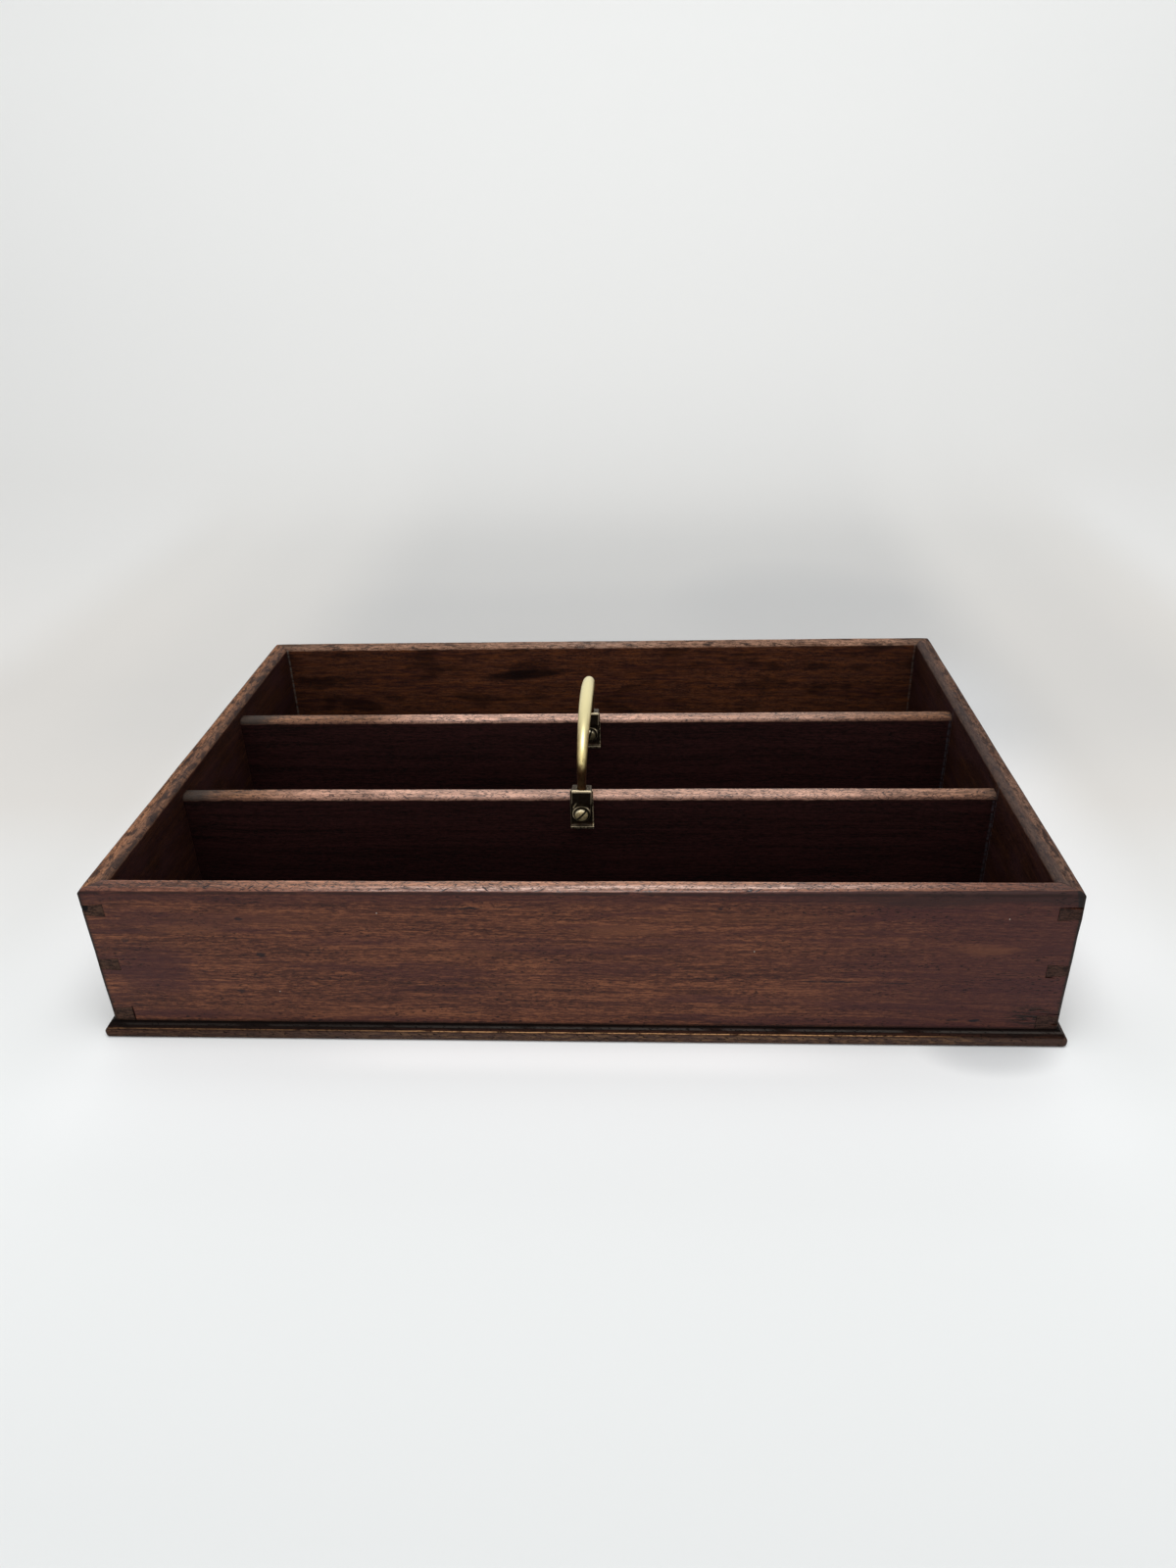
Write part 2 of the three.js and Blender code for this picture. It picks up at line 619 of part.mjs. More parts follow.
for (const [side, face] of [["front", frontDividerFace], ["rear", rearDividerFace]]) {
  const plate = piece(`${side}_pivot_plate`, geometryOf(pivotPlate()), metals.oldBrass);
  const screw = piece(`${side}_pivot_screw`, geometryOf(pivotScrew()), metals.screwBrass);
  const swinging = piece(`${side}_knuckle`, geometryOf(knuckle()), metals.oldBrass);
  plate.position.set(FITTING_OFFSET, face, pivotHeight);
  screw.position.set(FITTING_OFFSET, face, pivotHeight);
  swinging.position.set(0, face, 0);
  cutleryBox.add(plate, screw);
  handle.add(swinging);
}

export default cutleryBox;
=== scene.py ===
"""Looks for the cutlery box: worn mahogany boards, a brass bail handle and a pale studio stage.

It is laid out as an add-on and run as a script. Meshes are made in millimetres and settled in metres, in the
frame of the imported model: z up, y to the back, the origin under the middle of the base board.
"""

import json
import math
import random

import bmesh
import bpy
from mathutils import Matrix, Vector, noise


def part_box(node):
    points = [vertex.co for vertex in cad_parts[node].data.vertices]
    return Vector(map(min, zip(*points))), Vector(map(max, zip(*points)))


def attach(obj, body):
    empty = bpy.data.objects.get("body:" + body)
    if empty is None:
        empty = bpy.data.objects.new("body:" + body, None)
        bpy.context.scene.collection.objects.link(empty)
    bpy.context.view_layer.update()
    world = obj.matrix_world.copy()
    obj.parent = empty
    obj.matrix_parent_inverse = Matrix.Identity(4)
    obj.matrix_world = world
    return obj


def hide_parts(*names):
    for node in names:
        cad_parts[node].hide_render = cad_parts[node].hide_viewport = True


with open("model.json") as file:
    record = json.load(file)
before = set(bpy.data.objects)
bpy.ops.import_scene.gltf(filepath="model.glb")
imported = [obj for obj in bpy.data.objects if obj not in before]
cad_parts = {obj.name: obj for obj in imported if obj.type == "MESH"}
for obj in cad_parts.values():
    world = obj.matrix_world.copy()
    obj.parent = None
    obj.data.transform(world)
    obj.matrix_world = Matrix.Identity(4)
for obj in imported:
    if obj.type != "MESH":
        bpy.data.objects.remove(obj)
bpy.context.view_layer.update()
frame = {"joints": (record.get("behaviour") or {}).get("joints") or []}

bl_info = {
    "name": "Cutlery Box",
    "version": (1, 0, 0),
    "blender": (4, 5, 0),
    "location": "3D View > Sidebar > Cutlery Box",
    "description": "Dresses a packed cutlery box in worn mahogany and old brass, on a pale studio stage",
    "category": "Object",
}

MM = 0.001


def box_mm(node):
    """The low and the high corner of a CAD node's box, in millimetres."""
    low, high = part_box(node)
    return low / MM, high / MM


FRONT_LOW, FRONT_HIGH = box_mm("front_board")
BASE_HIGH = box_mm("base_board")[1]
HALF_LENGTH = FRONT_HIGH.x
HALF_DEPTH = -FRONT_LOW.y
WALL = FRONT_HIGH.y - FRONT_LOW.y
FLOOR = BASE_HIGH.z
RIM = FRONT_HIGH.z
WALL_HEIGHT = RIM - FLOOR
DIVIDER_HIGH = box_mm("front_divider")[1]
DIVIDER_TOP = DIVIDER_HIGH.z
DIVIDER_HALF = DIVIDER_HIGH.x
DIVIDER_FACES = {side: box_mm(f"{side}_divider")[0].y for side in ("front", "rear")}
DIVIDER_WALL = DIVIDER_HIGH.y - DIVIDER_FACES["front"]
PIVOT = Vector(frame["joints"][0]["pos_m"]) / MM
SCREW_NODES = [f"base_screw_{i}" for i in range(1, 11)]

# Sizes that the panel doesn't show, in millimetres
RIM_RADIUS = 2.6
SLICE = 2.6
SLICE_LEAST = 0.09
OVERRUN = 2.0
CASTING_SKIN = 0.13
PIVOT_HOLE_ROOM = 0.15
PIVOT_DEPTH = 6.0
BAIL_END_ROOM = 0.35
SCREW_HOLE_ROOM = 0.3
SCREW_SHANK = 1.3
IRON_SLOT_WIDTH = 0.8
IRON_SLOT_DEPTH = 0.7
END_GRAIN_DROP = 0.06
PLATE_CORNER = 1.0
KNUCKLE_BEVEL = 0.5

# The studio, in metres, watts and degrees
SWEEP_HALF_WIDTH = 3.0
SWEEP_FRONT = -3.2
SWEEP_TURN = 0.62
SWEEP_RADIUS = 0.5
SWEEP_HEIGHT = 3.0
SWEEP_UNDER_BOX = 2.5
SKY_COLOUR = (0.97, 0.985, 1.0, 1)
SKY_STRENGTH = 0.59
LAMPS = (
    ("overhead", (0.05, -0.3, 1.45), (1.1, 0.8), 11.0, (0.03, 0.0, 0)),
    ("front", (-0.3, -1.8, 1.0), (1.8, 1.1), 7.5, (0, 0, 0.05)),
)
CAMERA_PLACE = (0.03192, -0.48847, 0.31698)
CAMERA_ANGLES = (-3.69, -28.78, -1.92)
CAMERA_LENS = 24.95
CAMERA_SENSOR = 36.0


# Sizes and colours that a user would change


def length(name, description, millimetres):
    """A size that is given in millimetres and kept in metres."""
    kind = {"unit": "LENGTH", "precision": 4, "min": 0.0}
    return bpy.props.FloatProperty(name=name, description=description, default=millimetres * MM, **kind)


def colour(name, description, red, green, blue):
    """A colour in linear light."""
    kind = {"size": 4, "subtype": "COLOR", "min": 0.0, "max": 1.0}
    default = (red, green, blue, 1.0)
    return bpy.props.FloatVectorProperty(name=name, description=description, default=default, **kind)


class CutleryBoxCase(bpy.types.PropertyGroup):
    """Sizes of the boards, their joints and the base moulding."""

    rim_radius: length("Rim radius", "Rounding of the walls' top edges", RIM_RADIUS)
    corner_radius: length("Corner radius", "Rounding of the case's upright corners", 1.4)
    mitre_height: length("Mitre height", "Height of the mitre over the dovetails", 7.4)
    first_pin_drop: length("First pin drop", "From the rim down to the first pin", 7.0)
    pin_root: length("Pin root", "Height of a pin at the wall's inner face", 6.0)
    pin_tip: length("Pin tip", "Height of a pin at the corner", 4.6)
    upper_tail: length("Upper tail", "Height of the tail between the two pins", 21.5)
    half_pin_root: length("Half pin root", "Height of the lowest pin at the wall's inner face", 7.2)
    half_pin_tip: length("Half pin tip", "Height of the lowest pin at the corner", 6.4)
    joint_gap: length("Joint gap", "Open line round the pins", 0.13)
    divider_radius: length("Divider radius", "Rounding of the dividers' top edges", 2.2)
    housing_gap: length("Housing gap", "Open line round the dividers' ends", 0.16)
    nose_height: length("Nose height", "Height of the moulding's rounded nose", 3.7)
    nose_radius: length("Nose radius", "Rounding of the nose", 1.4)
    step_height: length("Step height", "Height of the step over the nose", 0.5)
    slope_bulge: length("Slope bulge", "Fullness of the moulding's upper curve", 0.7)
    base_corner_radius: length("Base corner radius", "Rounding of the base board's corners", 2.2)


class CutleryBoxHandle(bpy.types.PropertyGroup):
    """Sizes of the handle and its fittings, measured from the pivot."""

    plate_width: length("Plate width", "Width of a pivot plate", 10.8)
    plate_thickness: length("Plate thickness", "Thickness of a pivot plate", 1.0)
    plate_above: length("Plate above", "Height of a plate over the pivot", 10.6)
    plate_below: length("Plate below", "Length of a plate under the pivot", 9.4)
    lip_height: length("Lip height", "Height of the lip at a plate's foot", 1.2)
    lip_depth: length("Lip depth", "How far the lip turns out", 1.6)
    running_gap: length("Running gap", "Room in front of the plate and behind the screw's head", 0.25)
    block_width: length("Block width", "Width of a knuckle's socket block", 9.2)
    block_depth: length("Block depth", "Depth of the socket block", 6.0)
    block_bottom: length("Block bottom", "Height of the block's underside", 6.6)
    block_top: length("Block top", "Height of the block's top", 13.4)
    neck_width: length("Neck width", "Width of the neck at the pivot", 7.0)
    neck_break: length("Neck break", "Height where the neck starts to lean out", 3.4)
    eye_radius: length("Eye radius", "Radius of the eye round the pivot screw", 4.2)
    eye_thickness: length("Eye thickness", "Thickness of the eye", 4.0)
    eye_proud: length("Eye proud", "How far the eye stands out of the neck", 0.3)
    socket_depth: length("Socket depth", "How far the bail goes into the block", 6.0)
    socket_gap: length("Socket gap", "Room round the bail's end", 0.3)
    shank_radius: length("Shank radius", "Radius of a pivot screw's shank", 1.5)
    head_radius: length("Head radius", "Radius of a pivot screw's head", 3.2)
    head_height: length("Head height", "Height of the screw's domed head", 1.9)
    slot_width: length("Slot width", "Width of the screw's slot", 0.8)
    slot_depth: length("Slot depth", "Depth of the screw's slot", 1.0)
    leg_height: length("Leg height", "Where the bail's straight legs end", 20.5)
    arch_rise: length("Arch rise", "Height of the arch over the legs", 20.5)
    leg_radius: length("Leg radius", "Radius of the bail at its ends", 2.05)
    grip_radius: length("Grip radius", "Radius of the bail at the grip", 3.2)
    squareness: bpy.props.FloatProperty(
        name="Squareness",
        description="Power of the arch's curve, 2 for an ellipse",
        default=2.1,
        min=1.5,
        max=4.0,
    )
    lean: bpy.props.FloatProperty(
        name="Lean",
        description="How far the handle leans to the right at rest",
        default=math.radians(2),
        unit="ROTATION",
    )


class CutleryBoxFinish(bpy.types.PropertyGroup):
    """Colours of the woods and metals."""

    wall_dark: colour("Wall dark", "Dark streaks of the walls' mahogany", 0.036, 0.0125, 0.0095)
    wall_mid: colour("Wall middle", "Body colour of the walls' mahogany", 0.088, 0.0295, 0.0175)
    wall_light: colour("Wall light", "Light streaks of the walls' mahogany", 0.20, 0.073, 0.035)
    wall_plum: colour("Wall plum", "Purplish zones of the walls", 0.046, 0.0145, 0.0155)
    worn: colour("Worn wood", "Wood rubbed bare on the front rim", 0.325, 0.143, 0.080)
    worn_brown: colour("Worn brown", "Brown rubbed wood at the dividers' ends", 0.150, 0.070, 0.035)
    worn_pale: colour("Worn pale", "Pinkish wood rubbed on the dividers' tops", 0.50, 0.278, 0.198)
    grime: colour("Grime", "Brown-black dirt and end grain", 0.024, 0.015, 0.011)
    divider_dark: colour("Divider dark", "Dark streaks of the dividers", 0.007, 0.0028, 0.0026)
    divider_light: colour("Divider light", "Light streaks of the dividers", 0.030, 0.009, 0.0085)
    base_dark: colour("Base dark", "Dark streaks of the base board", 0.006, 0.0032, 0.0026)
    base_light: colour("Base light", "Light streaks of the base board", 0.040, 0.015, 0.0085)
    gold_line: colour("Gold line", "Rubbed line on the moulding's step", 0.52, 0.275, 0.125)
    polished: colour("Polished brass", "Brass that hands keep bright", 0.90, 0.79, 0.43)
    tarnish: colour("Tarnish", "Brown tarnish over brass", 0.078, 0.034, 0.014)
    old_brass: colour("Old brass", "Dark brass of plates and knuckles", 0.080, 0.062, 0.044)
    # Also the colour of the highlights painted on the brass edges
    rubbed_brass: colour("Rubbed brass", "Rubbed edges of the old brass", 0.98, 0.81, 0.52)
    iron: colour("Iron", "Darkened iron of the sunk screws", 0.075, 0.062, 0.055)
    rust: colour("Rust", "Rust in the sunk screws", 0.13, 0.05, 0.022)
    paper: colour("Paper", "Pale floor and backdrop", 0.985, 1.0, 0.995)
    grain_depth: bpy.props.FloatProperty(
        name="Grain depth",
        description="Strength of the pores and fibres in the surface",
        default=0.55,
        subtype="FACTOR",
        min=0.0,
        max=1.0,
    )


def in_mm(group):
    """A property group's values by name, lengths in millimetres."""
    values = {}
    for name in group.__annotations__:
        value = getattr(group, name)
        values[name] = value / MM if group.bl_rna.properties[name].unit == "LENGTH" else value
    return type("Sizes", (), values)


# Mesh making, in millimetres


def smooth(low, high, value):
    """0 below low, 1 above high and an even rise between them."""
    share = min(max((value - low) / (high - low), 0.0), 1.0)
    return share * share * (3 - 2 * share)


def circle(radius, steps, centre=(0, 0)):
    """Points round a circle."""
    turns = (2 * math.pi * i / steps for i in range(steps))
    return [(centre[0] + radius * math.cos(a), centre[1] + radius * math.sin(a)) for a in turns]


def new_piece(name, points, faces):
    """An object with that mesh, its faces turned outwards."""
    mesh = bpy.data.meshes.new(name)
    mesh.from_pydata([tuple(p) for p in points], [], faces)
    shell = bmesh.new()
    shell.from_mesh(mesh)
    bmesh.ops.recalc_face_normals(shell, faces=shell.faces)
    shell.to_mesh(mesh)
    shell.free()
    piece = bpy.data.objects.new(name, mesh)
    bpy.context.scene.collection.objects.link(piece)
    return piece


def loft(name, rings):
    """A closed body through rings that hold equally many points."""
    count = len(rings[0])
    last = (len(rings) - 1) * count
    faces = [tuple(range(count)), tuple(range(last, last + count))]
    for level in range(len(rings) - 1):
        for i in range(count):
            a = level * count + i
            b = level * count + (i + 1) % count
            faces.append((a, b, b + count, a + count))
    return new_piece(name, [point for ring in rings for point in ring], faces)


def turned(name, profile, steps):
    """A body turned round z from (radius, height) points that start and end on the axis."""
    points, faces = [(0, 0, profile[0][1]), (0, 0, profile[-1][1])], []
    for radius, height in profile[1:-1]:
        points += [(x, y, height) for x, y in circle(radius, steps)]
    levels = len(profile) - 2
    for i in range(steps):
        j = (i + 1) % steps
        faces.append((0, 2 + j, 2 + i))
        faces.append((1, 2 + (levels - 1) * steps + i, 2 + (levels - 1) * steps + j))
        for level in range(levels - 1):
            a, b = 2 + level * steps + i, 2 + level * steps + j
            faces.append((a, b, b + steps, a + steps))
    return new_piece(name, points, faces)


def prisms(name, outlines, axis, start, stop):
    """Straight bodies with the outlines' ends, each lying in the two other axes."""
    points, faces = [], []
    for outline in outlines:
        first, count = len(points), len(outline)
        for end in (start, stop):
            for u, v in outline:
                points.append({"x": (end, u, v), "y": (u, end, v), "z": (u, v, end)}[axis])
        faces.append(tuple(first + i for i in range(count)))
        faces.append(tuple(first + count + i for i in range(count)))
        for i in range(count):
            a, b = first + i, first + (i + 1) % count
            faces.append((a, b, b + count, a + count))
    return new_piece(name, points, faces)


def rod(name, radius, axis, start, stop, steps, centre=(0, 0)):
    """A round bar along an axis, with its centre line through a point of the two other axes."""
    return prisms(name, [circle(radius, steps, centre)], axis, start, stop)


def bake(piece):
    """The piece's modifiers become its mesh."""
    bpy.context.view_layer.update()
    shown = piece.evaluated_get(bpy.context.evaluated_depsgraph_get())
    mesh = bpy.data.meshes.new_from_object(shown)
    piece.modifiers.clear()
    old, piece.data = piece.data, mesh
    mesh.name = piece.name
    bpy.data.meshes.remove(old)
    return piece


def combine(piece, tool, operation="DIFFERENCE"):
    """Cuts the tool from the piece, joins it on, or keeps what both share, and removes the tool."""
    modifier = piece.modifiers.new("Combine", "BOOLEAN")
    modifier.operation = operation
    modifier.solver = "MANIFOLD"
    modifier.object = tool
    bake(piece)
    if not piece.data.polygons:
        raise RuntimeError(f"{piece.name} is empty after {tool.name}")
    bpy.data.objects.remove(tool)
    return piece


def soften(piece, rounds):
    """Fine even skin with its edges softened, as a casting has."""
    remesh = piece.modifiers.new("Skin", "REMESH")
    remesh.mode = "VOXEL"
    remesh.voxel_size = CASTING_SKIN
    ease = piece.modifiers.new("Ease", "SMOOTH")
    ease.factor = 0.5
    ease.iterations = rounds
    return bake(piece)


def settle(piece, body, node, material, place=None, crease=35):
    """From millimetres to the model's metres, on its body, in the stead of its CAD node."""
    piece.data.transform(Matrix.Scale(MM, 4) @ (place or Matrix.Identity(4)))
    piece.data.materials.clear()
    piece.data.materials.append(material)
    for face in piece.data.polygons:
        face.use_smooth = True
        face.material_index = 0
    piece.data.set_sharp_from_angle(angle=math.radians(crease))
    weigh = piece.modifiers.new("Weigh", "WEIGHTED_NORMAL")
    weigh.keep_sharp = True
    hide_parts(node)
    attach(piece, body)
    return piece


# Boards


class Wear:
    """Slow hollows and small dents along a board's top, the same each time for the same seed."""

    def __init__(self, seed, reach, across, count, deepest, marks=()):
        """count dents are drawn within reach of the middle, and the marks are added to them."""
        draw = random.Random(seed)
        self.seed = seed
        self.across = across
        self.dents = list(marks)
        for _ in range(count):
            self.dents.append(
                (
                    draw.uniform(-reach, reach),
                    draw.uniform(0.2, 0.7) * across,
                    draw.uniform(0.4, 1.7),
                    draw.uniform(0.25, 0.5),
                    draw.uniform(0.25, 1.0) * deepest,
                    draw.uniform(-1.1, 1.1),
                )
            )

    def stations(self, half):
        """Where the board is sliced: evenly, and closer at its ends and dents."""
        count = round(2 * half / SLICE)
        places = [half * (2 * i / count - 1) for i in range(count + 1)]
        for inset in (0.12, 0.3, 0.55, 0.85, 1.2, 1.6, 2.1, 2.8):
            places += [inset - half, half - inset]
        for s, _, reach, width, _, slant in self.dents:
            span = max(abs(reach * math.cos(slant)), width) * 1.5
            places += [s + span * i / 4 for i in range(-4, 5)]
        kept = []
        for place in sorted(p for p in places if abs(p) <= half):
            if not kept or place - kept[-1] > SLICE_LEAST:
                kept.append(place)
        kept[-1] = half
        return kept

    def depth(self, s, q):
        """How much is gone at s along the board and q over its top, from the outer face to the inner."""
        over = smooth(-1.5, 1.0, q) * (1 - smooth(self.across - 1.0, self.across + 1.5, q))
        face = 0.05 + 0.05 * noise.noise((s / 70, q / 30, self.seed))
        slow = 0.12 + 0.16 * noise.noise((s / 38, q / 14, self.seed + 7))
        quick = 0.035 * noise.noise((s / 5, q / 2.2, self.seed + 3))
        gone = face * (1 - over) + (slow + quick) * over
        for at, middle, reach, width, deep, slant in self.dents:
            ds, dq = s - at, q - middle
            if abs(ds) < 4 * reach + 1 and abs(dq) < 4 * reach + 1:
                run = (ds * math.cos(slant) + dq * math.sin(slant)) / reach
                side = (dq * math.cos(slant) - ds * math.sin(slant)) / width
                gone += deep * math.exp(-run * run - side * side)
        return max(gone, 0.0)


def board_profile(thickness, height, radius, rows=7, arc=9, crown_steps=5):
    """Points round a board's end as (u, v, normal u, normal v, q), from the outer foot over the top.

    u goes from the outer face to the inner, v goes up, and q is the way over the top from its outer edge.
    """
    shoulder, quarter, crown = height - radius, radius * math.pi / 2, thickness - 2 * radius
    points = [(0, shoulder * i / rows, -1, 0, shoulder * (i / rows - 1)) for i in range(rows)]
    for i in range(arc + 1):
        a = math.pi / 2 * i / arc
        c, s = math.cos(a), math.sin(a)
        points.append((radius * (1 - c), shoulder + radius * s, -c, s, quarter * i / arc))
    for i in range(1, crown_steps):
        points.append((radius + crown * i / crown_steps, height, 0, 1, quarter + crown * i / crown_steps))
    for i in range(arc + 1):
        a = math.pi / 2 * (1 - i / arc)
        c, s = math.cos(a), math.sin(a)
        q = quarter + crown + quarter * i / arc
        points.append((thickness - radius * (1 - c), shoulder + radius * s, c, s, q))
    for i in range(1, rows + 1):
        v = shoulder * (1 - i / rows)
        points.append((thickness, v, 1, 0, 2 * quarter + crown + shoulder - v))
    return points


def corner_rounding(size, corner, v):
    """The rounding at a height of one of the case's four corners, which wears unevenly."""
    return size * (1.05 + 0.55 * noise.noise((v / 11, corner * 5.3, 1.7)))


def wall_board(name, half, wear, place, corner_of, sizes):
    """A wall of the case before its joints are cut.

    place turns (along, inset, height) into a point, and corner_of numbers the corner that is nearest.
    """
    profile = board_profile(WALL, WALL_HEIGHT, sizes.rim_radius)
    rings = []
    for s in wear.stations(half):
        ring = []
        edge = half - abs(s)
        for u, v, nu, nv, q in profile:
            gone = wear.depth(s, q)
            u1, v1 = u - nu * gone, v - nv * gone
            radius = corner_rounding(sizes.corner_radius, corner_of(s), v)
            if edge < radius:
                u1 = max(u1, radius - math.sqrt(radius**2 - (radius - edge) ** 2))
            near = max(0.0, 1 - math.hypot(edge, u) / 8)
            v1 -= 0.45 * near**2 * smooth(WALL_HEIGHT - 7, WALL_HEIGHT, v)
            ring.append(place(s, u1, v1 + FLOOR))
        rings.append(ring)
    return loft(name, rings)


def pin_outlines(sizes, gap, overrun):
    """The pins of one corner as (depth from the corner, height) outlines, grown by a gap."""
    outer, inner = -OVERRUN, WALL + overrun

    def at(tip, root, depth):
        return tip + (root - tip) * depth / WALL

    outlines = []
    middle = RIM - sizes.first_pin_drop - sizes.pin_root / 2
    near = at(sizes.pin_tip, sizes.pin_root, inner) / 2 + gap
    far = at(sizes.pin_tip, sizes.pin_root, outer) / 2 + gap
    for _ in range(2):
        corners = ((inner, -near), (inner, near), (outer, far), (outer, -far))
        outlines.append([(depth, middle + up) for depth, up in corners])
        middle -= sizes.pin_root + sizes.upper_tail
    near = FLOOR + at(sizes.half_pin_tip, sizes.half_pin_root, inner) + gap
    far = FLOOR + at(sizes.half_pin_tip, sizes.half_pin_root, outer) + gap
    outlines.append([(inner, FLOOR - OVERRUN), (inner, near), (outer, far), (outer, FLOOR - OVERRUN)])
    return outlines


def corner_prisms(name, outlines, side_x, side_y, deep=WALL + OVERRUN):
    """Outlines of (depth, height) at one corner, run that deep into the long board."""
    placed = [[(side_x * (HALF_LENGTH - depth), z) for depth, z in outline] for outline in outlines]
    return prisms(name, placed, "y", side_y * (HALF_DEPTH - deep), side_y * (HALF_DEPTH + OVERRUN))


def mitre_tool(sizes, side_x, side_y, shift):
    """What a long board gives up to the mitre at one corner, moved inwards by a shift."""
    reach = WALL + OVERRUN
    triangle = [(-OVERRUN, -OVERRUN + shift), (reach, reach + shift), (-OVERRUN, reach + shift)]
    placed = [(side_x * (HALF_LENGTH - u), side_y * (HALF_DEPTH - v)) for u, v in triangle]
    return prisms("mitre", [placed], "z", RIM - sizes.mitre_height, RIM + OVERRUN)


def block(name, low, high):
    """A box between two corners."""
    (x0, y0, z0), (x1, y1, z1) = low, high
    return prisms(name, [[(x0, y0), (x1, y0), (x1, y1), (x0, y1)]], "z", z0, z1)


def screw_places():
    """Each base screw's middle in x and y, its two ends in z and its head's radius, from its CAD node."""
    places = []
    for node in SCREW_NODES:
        low, high = box_mm(node)
        places.append(((low.x + high.x) / 2, (low.y + high.y) / 2, low.z, high.z, (high.x - low.x) / 2))
    return places


def screw_profile(low, high, radius, gap=0.0):
    """A countersunk screw from its head up, or the hole for it, which is larger by a gap."""
    head, shank = radius + gap, SCREW_SHANK + gap
    head_top, neck, point = low + 0.12 + gap, low + 1.7 + gap, high - 3 + gap
    start = low - 3 if gap else low
    return [(0, start), (head, start), (head, head_top), (shank, neck), (shank, point), (0, high + gap)]


def extent(piece, axis):
    """Where a piece starts and ends along an axis, in millimetres."""
    values = [point.co[axis] for point in piece.data.vertices]
    return min(values), max(values)


def with_screw_holes(piece):
    """The piece with a hole for each base screw that passes through it."""
    low_x, high_x = extent(piece, 0)
    low_y, high_y = extent(piece, 1)
    for x, y, low, high, radius in screw_places():
        if low_x - 4 < x < high_x + 4 and low_y - 4 < y < high_y + 4:
            hole = turned("hole", screw_profile(low, high, radius, SCREW_HOLE_ROOM), 40)
            hole.data.transform(Matrix.Translation((x, y, 0)))
            combine(piece, hole)
    return piece


# Dents that show on the front wall's rim: along, over the top, half length, half width, depth, slant.
FRONT_RIM_MARKS = [
    (-146.8, 5.2, 1.2, 0.35, 0.35, 0.7),
    (-128.4, 4.6, 1.3, 0.3, 0.4, 1.0),
    (-122.3, 4.5, 1.3, 0.3, 0.42, 1.0),
    (-117.5, 5.0, 0.9, 0.3, 0.3, 0.8),
    (-74.0, 3.6, 2.4, 0.3, 0.32, 0.25),
    (-66.0, 4.2, 1.6, 0.3, 0.28, -0.2),
    (-56.3, 5.6, 1.1, 0.28, 0.3, -0.7),
    (-49.5, 3.2, 1.9, 0.28, 0.3, 0.5),
    (-33.3, 3.8, 1.6, 0.26, 0.36, -0.8),
    (-22.7, 4.9, 1.5, 0.28, 0.34, -0.9),
    (-12.0, 2.9, 2.3, 0.25, 0.25, 0.3),
    (28.0, 3.5, 1.6, 0.3, 0.26, 0.4),
    (69.9, 2.6, 2.6, 0.36, 0.42, 0.35),
    (74.5, 3.4, 1.6, 0.3, 0.28, 0.5),
    (118.0, 4.0, 1.0, 0.3, 0.24, -0.6),
]


def joint_damage(sizes):
    """Chips and open splits at each wall's dovetails, all at the two front corners.

    Each has its side of the box, how deep it goes and its outline of (depth from the corner, height).
    """
    pin = RIM - sizes.first_pin_drop
    second = pin - sizes.pin_root - sizes.upper_tail
    low = FLOOR
    return {
        "front": [
            (1, 4.5, [(-2, pin - 0.7), (9.7, pin - 0.1), (9.7, pin + 0.2), (5, pin + 0.5), (-2, pin + 0.55)]),
            (-1, 3.0, [(9.4, low - 1), (9.4, low + 7.6), (9.9, low + 7.9), (10.1, low + 3), (9.95, low - 1)]),
            (1, 1.4, [(0.5, 13.9), (7, 14.4), (15.5, 14.1), (15.5, 14.25), (7, 14.75), (0.5, 14.5)]),
            (1, 0.9, [(4, 16.1), (9, 16.6), (14.5, 16.4), (9, 16.95)]),
            (1, 0.8, [(10, 10.4), (13.5, 10.9), (19, 10.7), (13.5, 11.3)]),
            (1, 0.9, [(9.2, 12.2), (12, 12.7), (17, 12.6), (12, 13.0)]),
            (1, 1.6, [(8.9, 7.5), (9.4, 7.5), (9.75, 12.9), (9.35, 13.2)]),
            (1, 1.2, [(5.5, second - 6.8), (9.6, second - 6.6), (9.6, second - 5.7), (7.4, second - 6.0)]),
        ],
        "back": [],
        "left": [
            (-1, 1.6, [(-2, pin - 3.6), (0.5, pin - 3.4), (0.6, pin - 2.4), (0.4, pin - 1.4), (-2, pin - 1.2)])
        ],
        "right": [
            (1, 1.1, [(-2, low + 1.4), (2.2, low + 2), (3.6, low + 2.2), (2.2, low + 3.2), (-2, low + 3.9)])
        ],
    }


def housing(sizes, side, face):
    """The room that a divider's end takes in an end wall."""
    gap = sizes.housing_gap
    height = DIVIDER_TOP - FLOOR + gap + OVERRUN
    profile = board_profile(DIVIDER_WALL + 2 * gap, height, sizes.divider_radius + gap, 1, 8, 1)
    outline = [(face - gap + u, FLOOR - OVERRUN + v) for u, v, *_ in profile]
    inner, outer = HALF_LENGTH - WALL - OVERRUN, DIVIDER_HALF + gap
    return prisms("housing", [outline], "x", side * inner, side * outer)


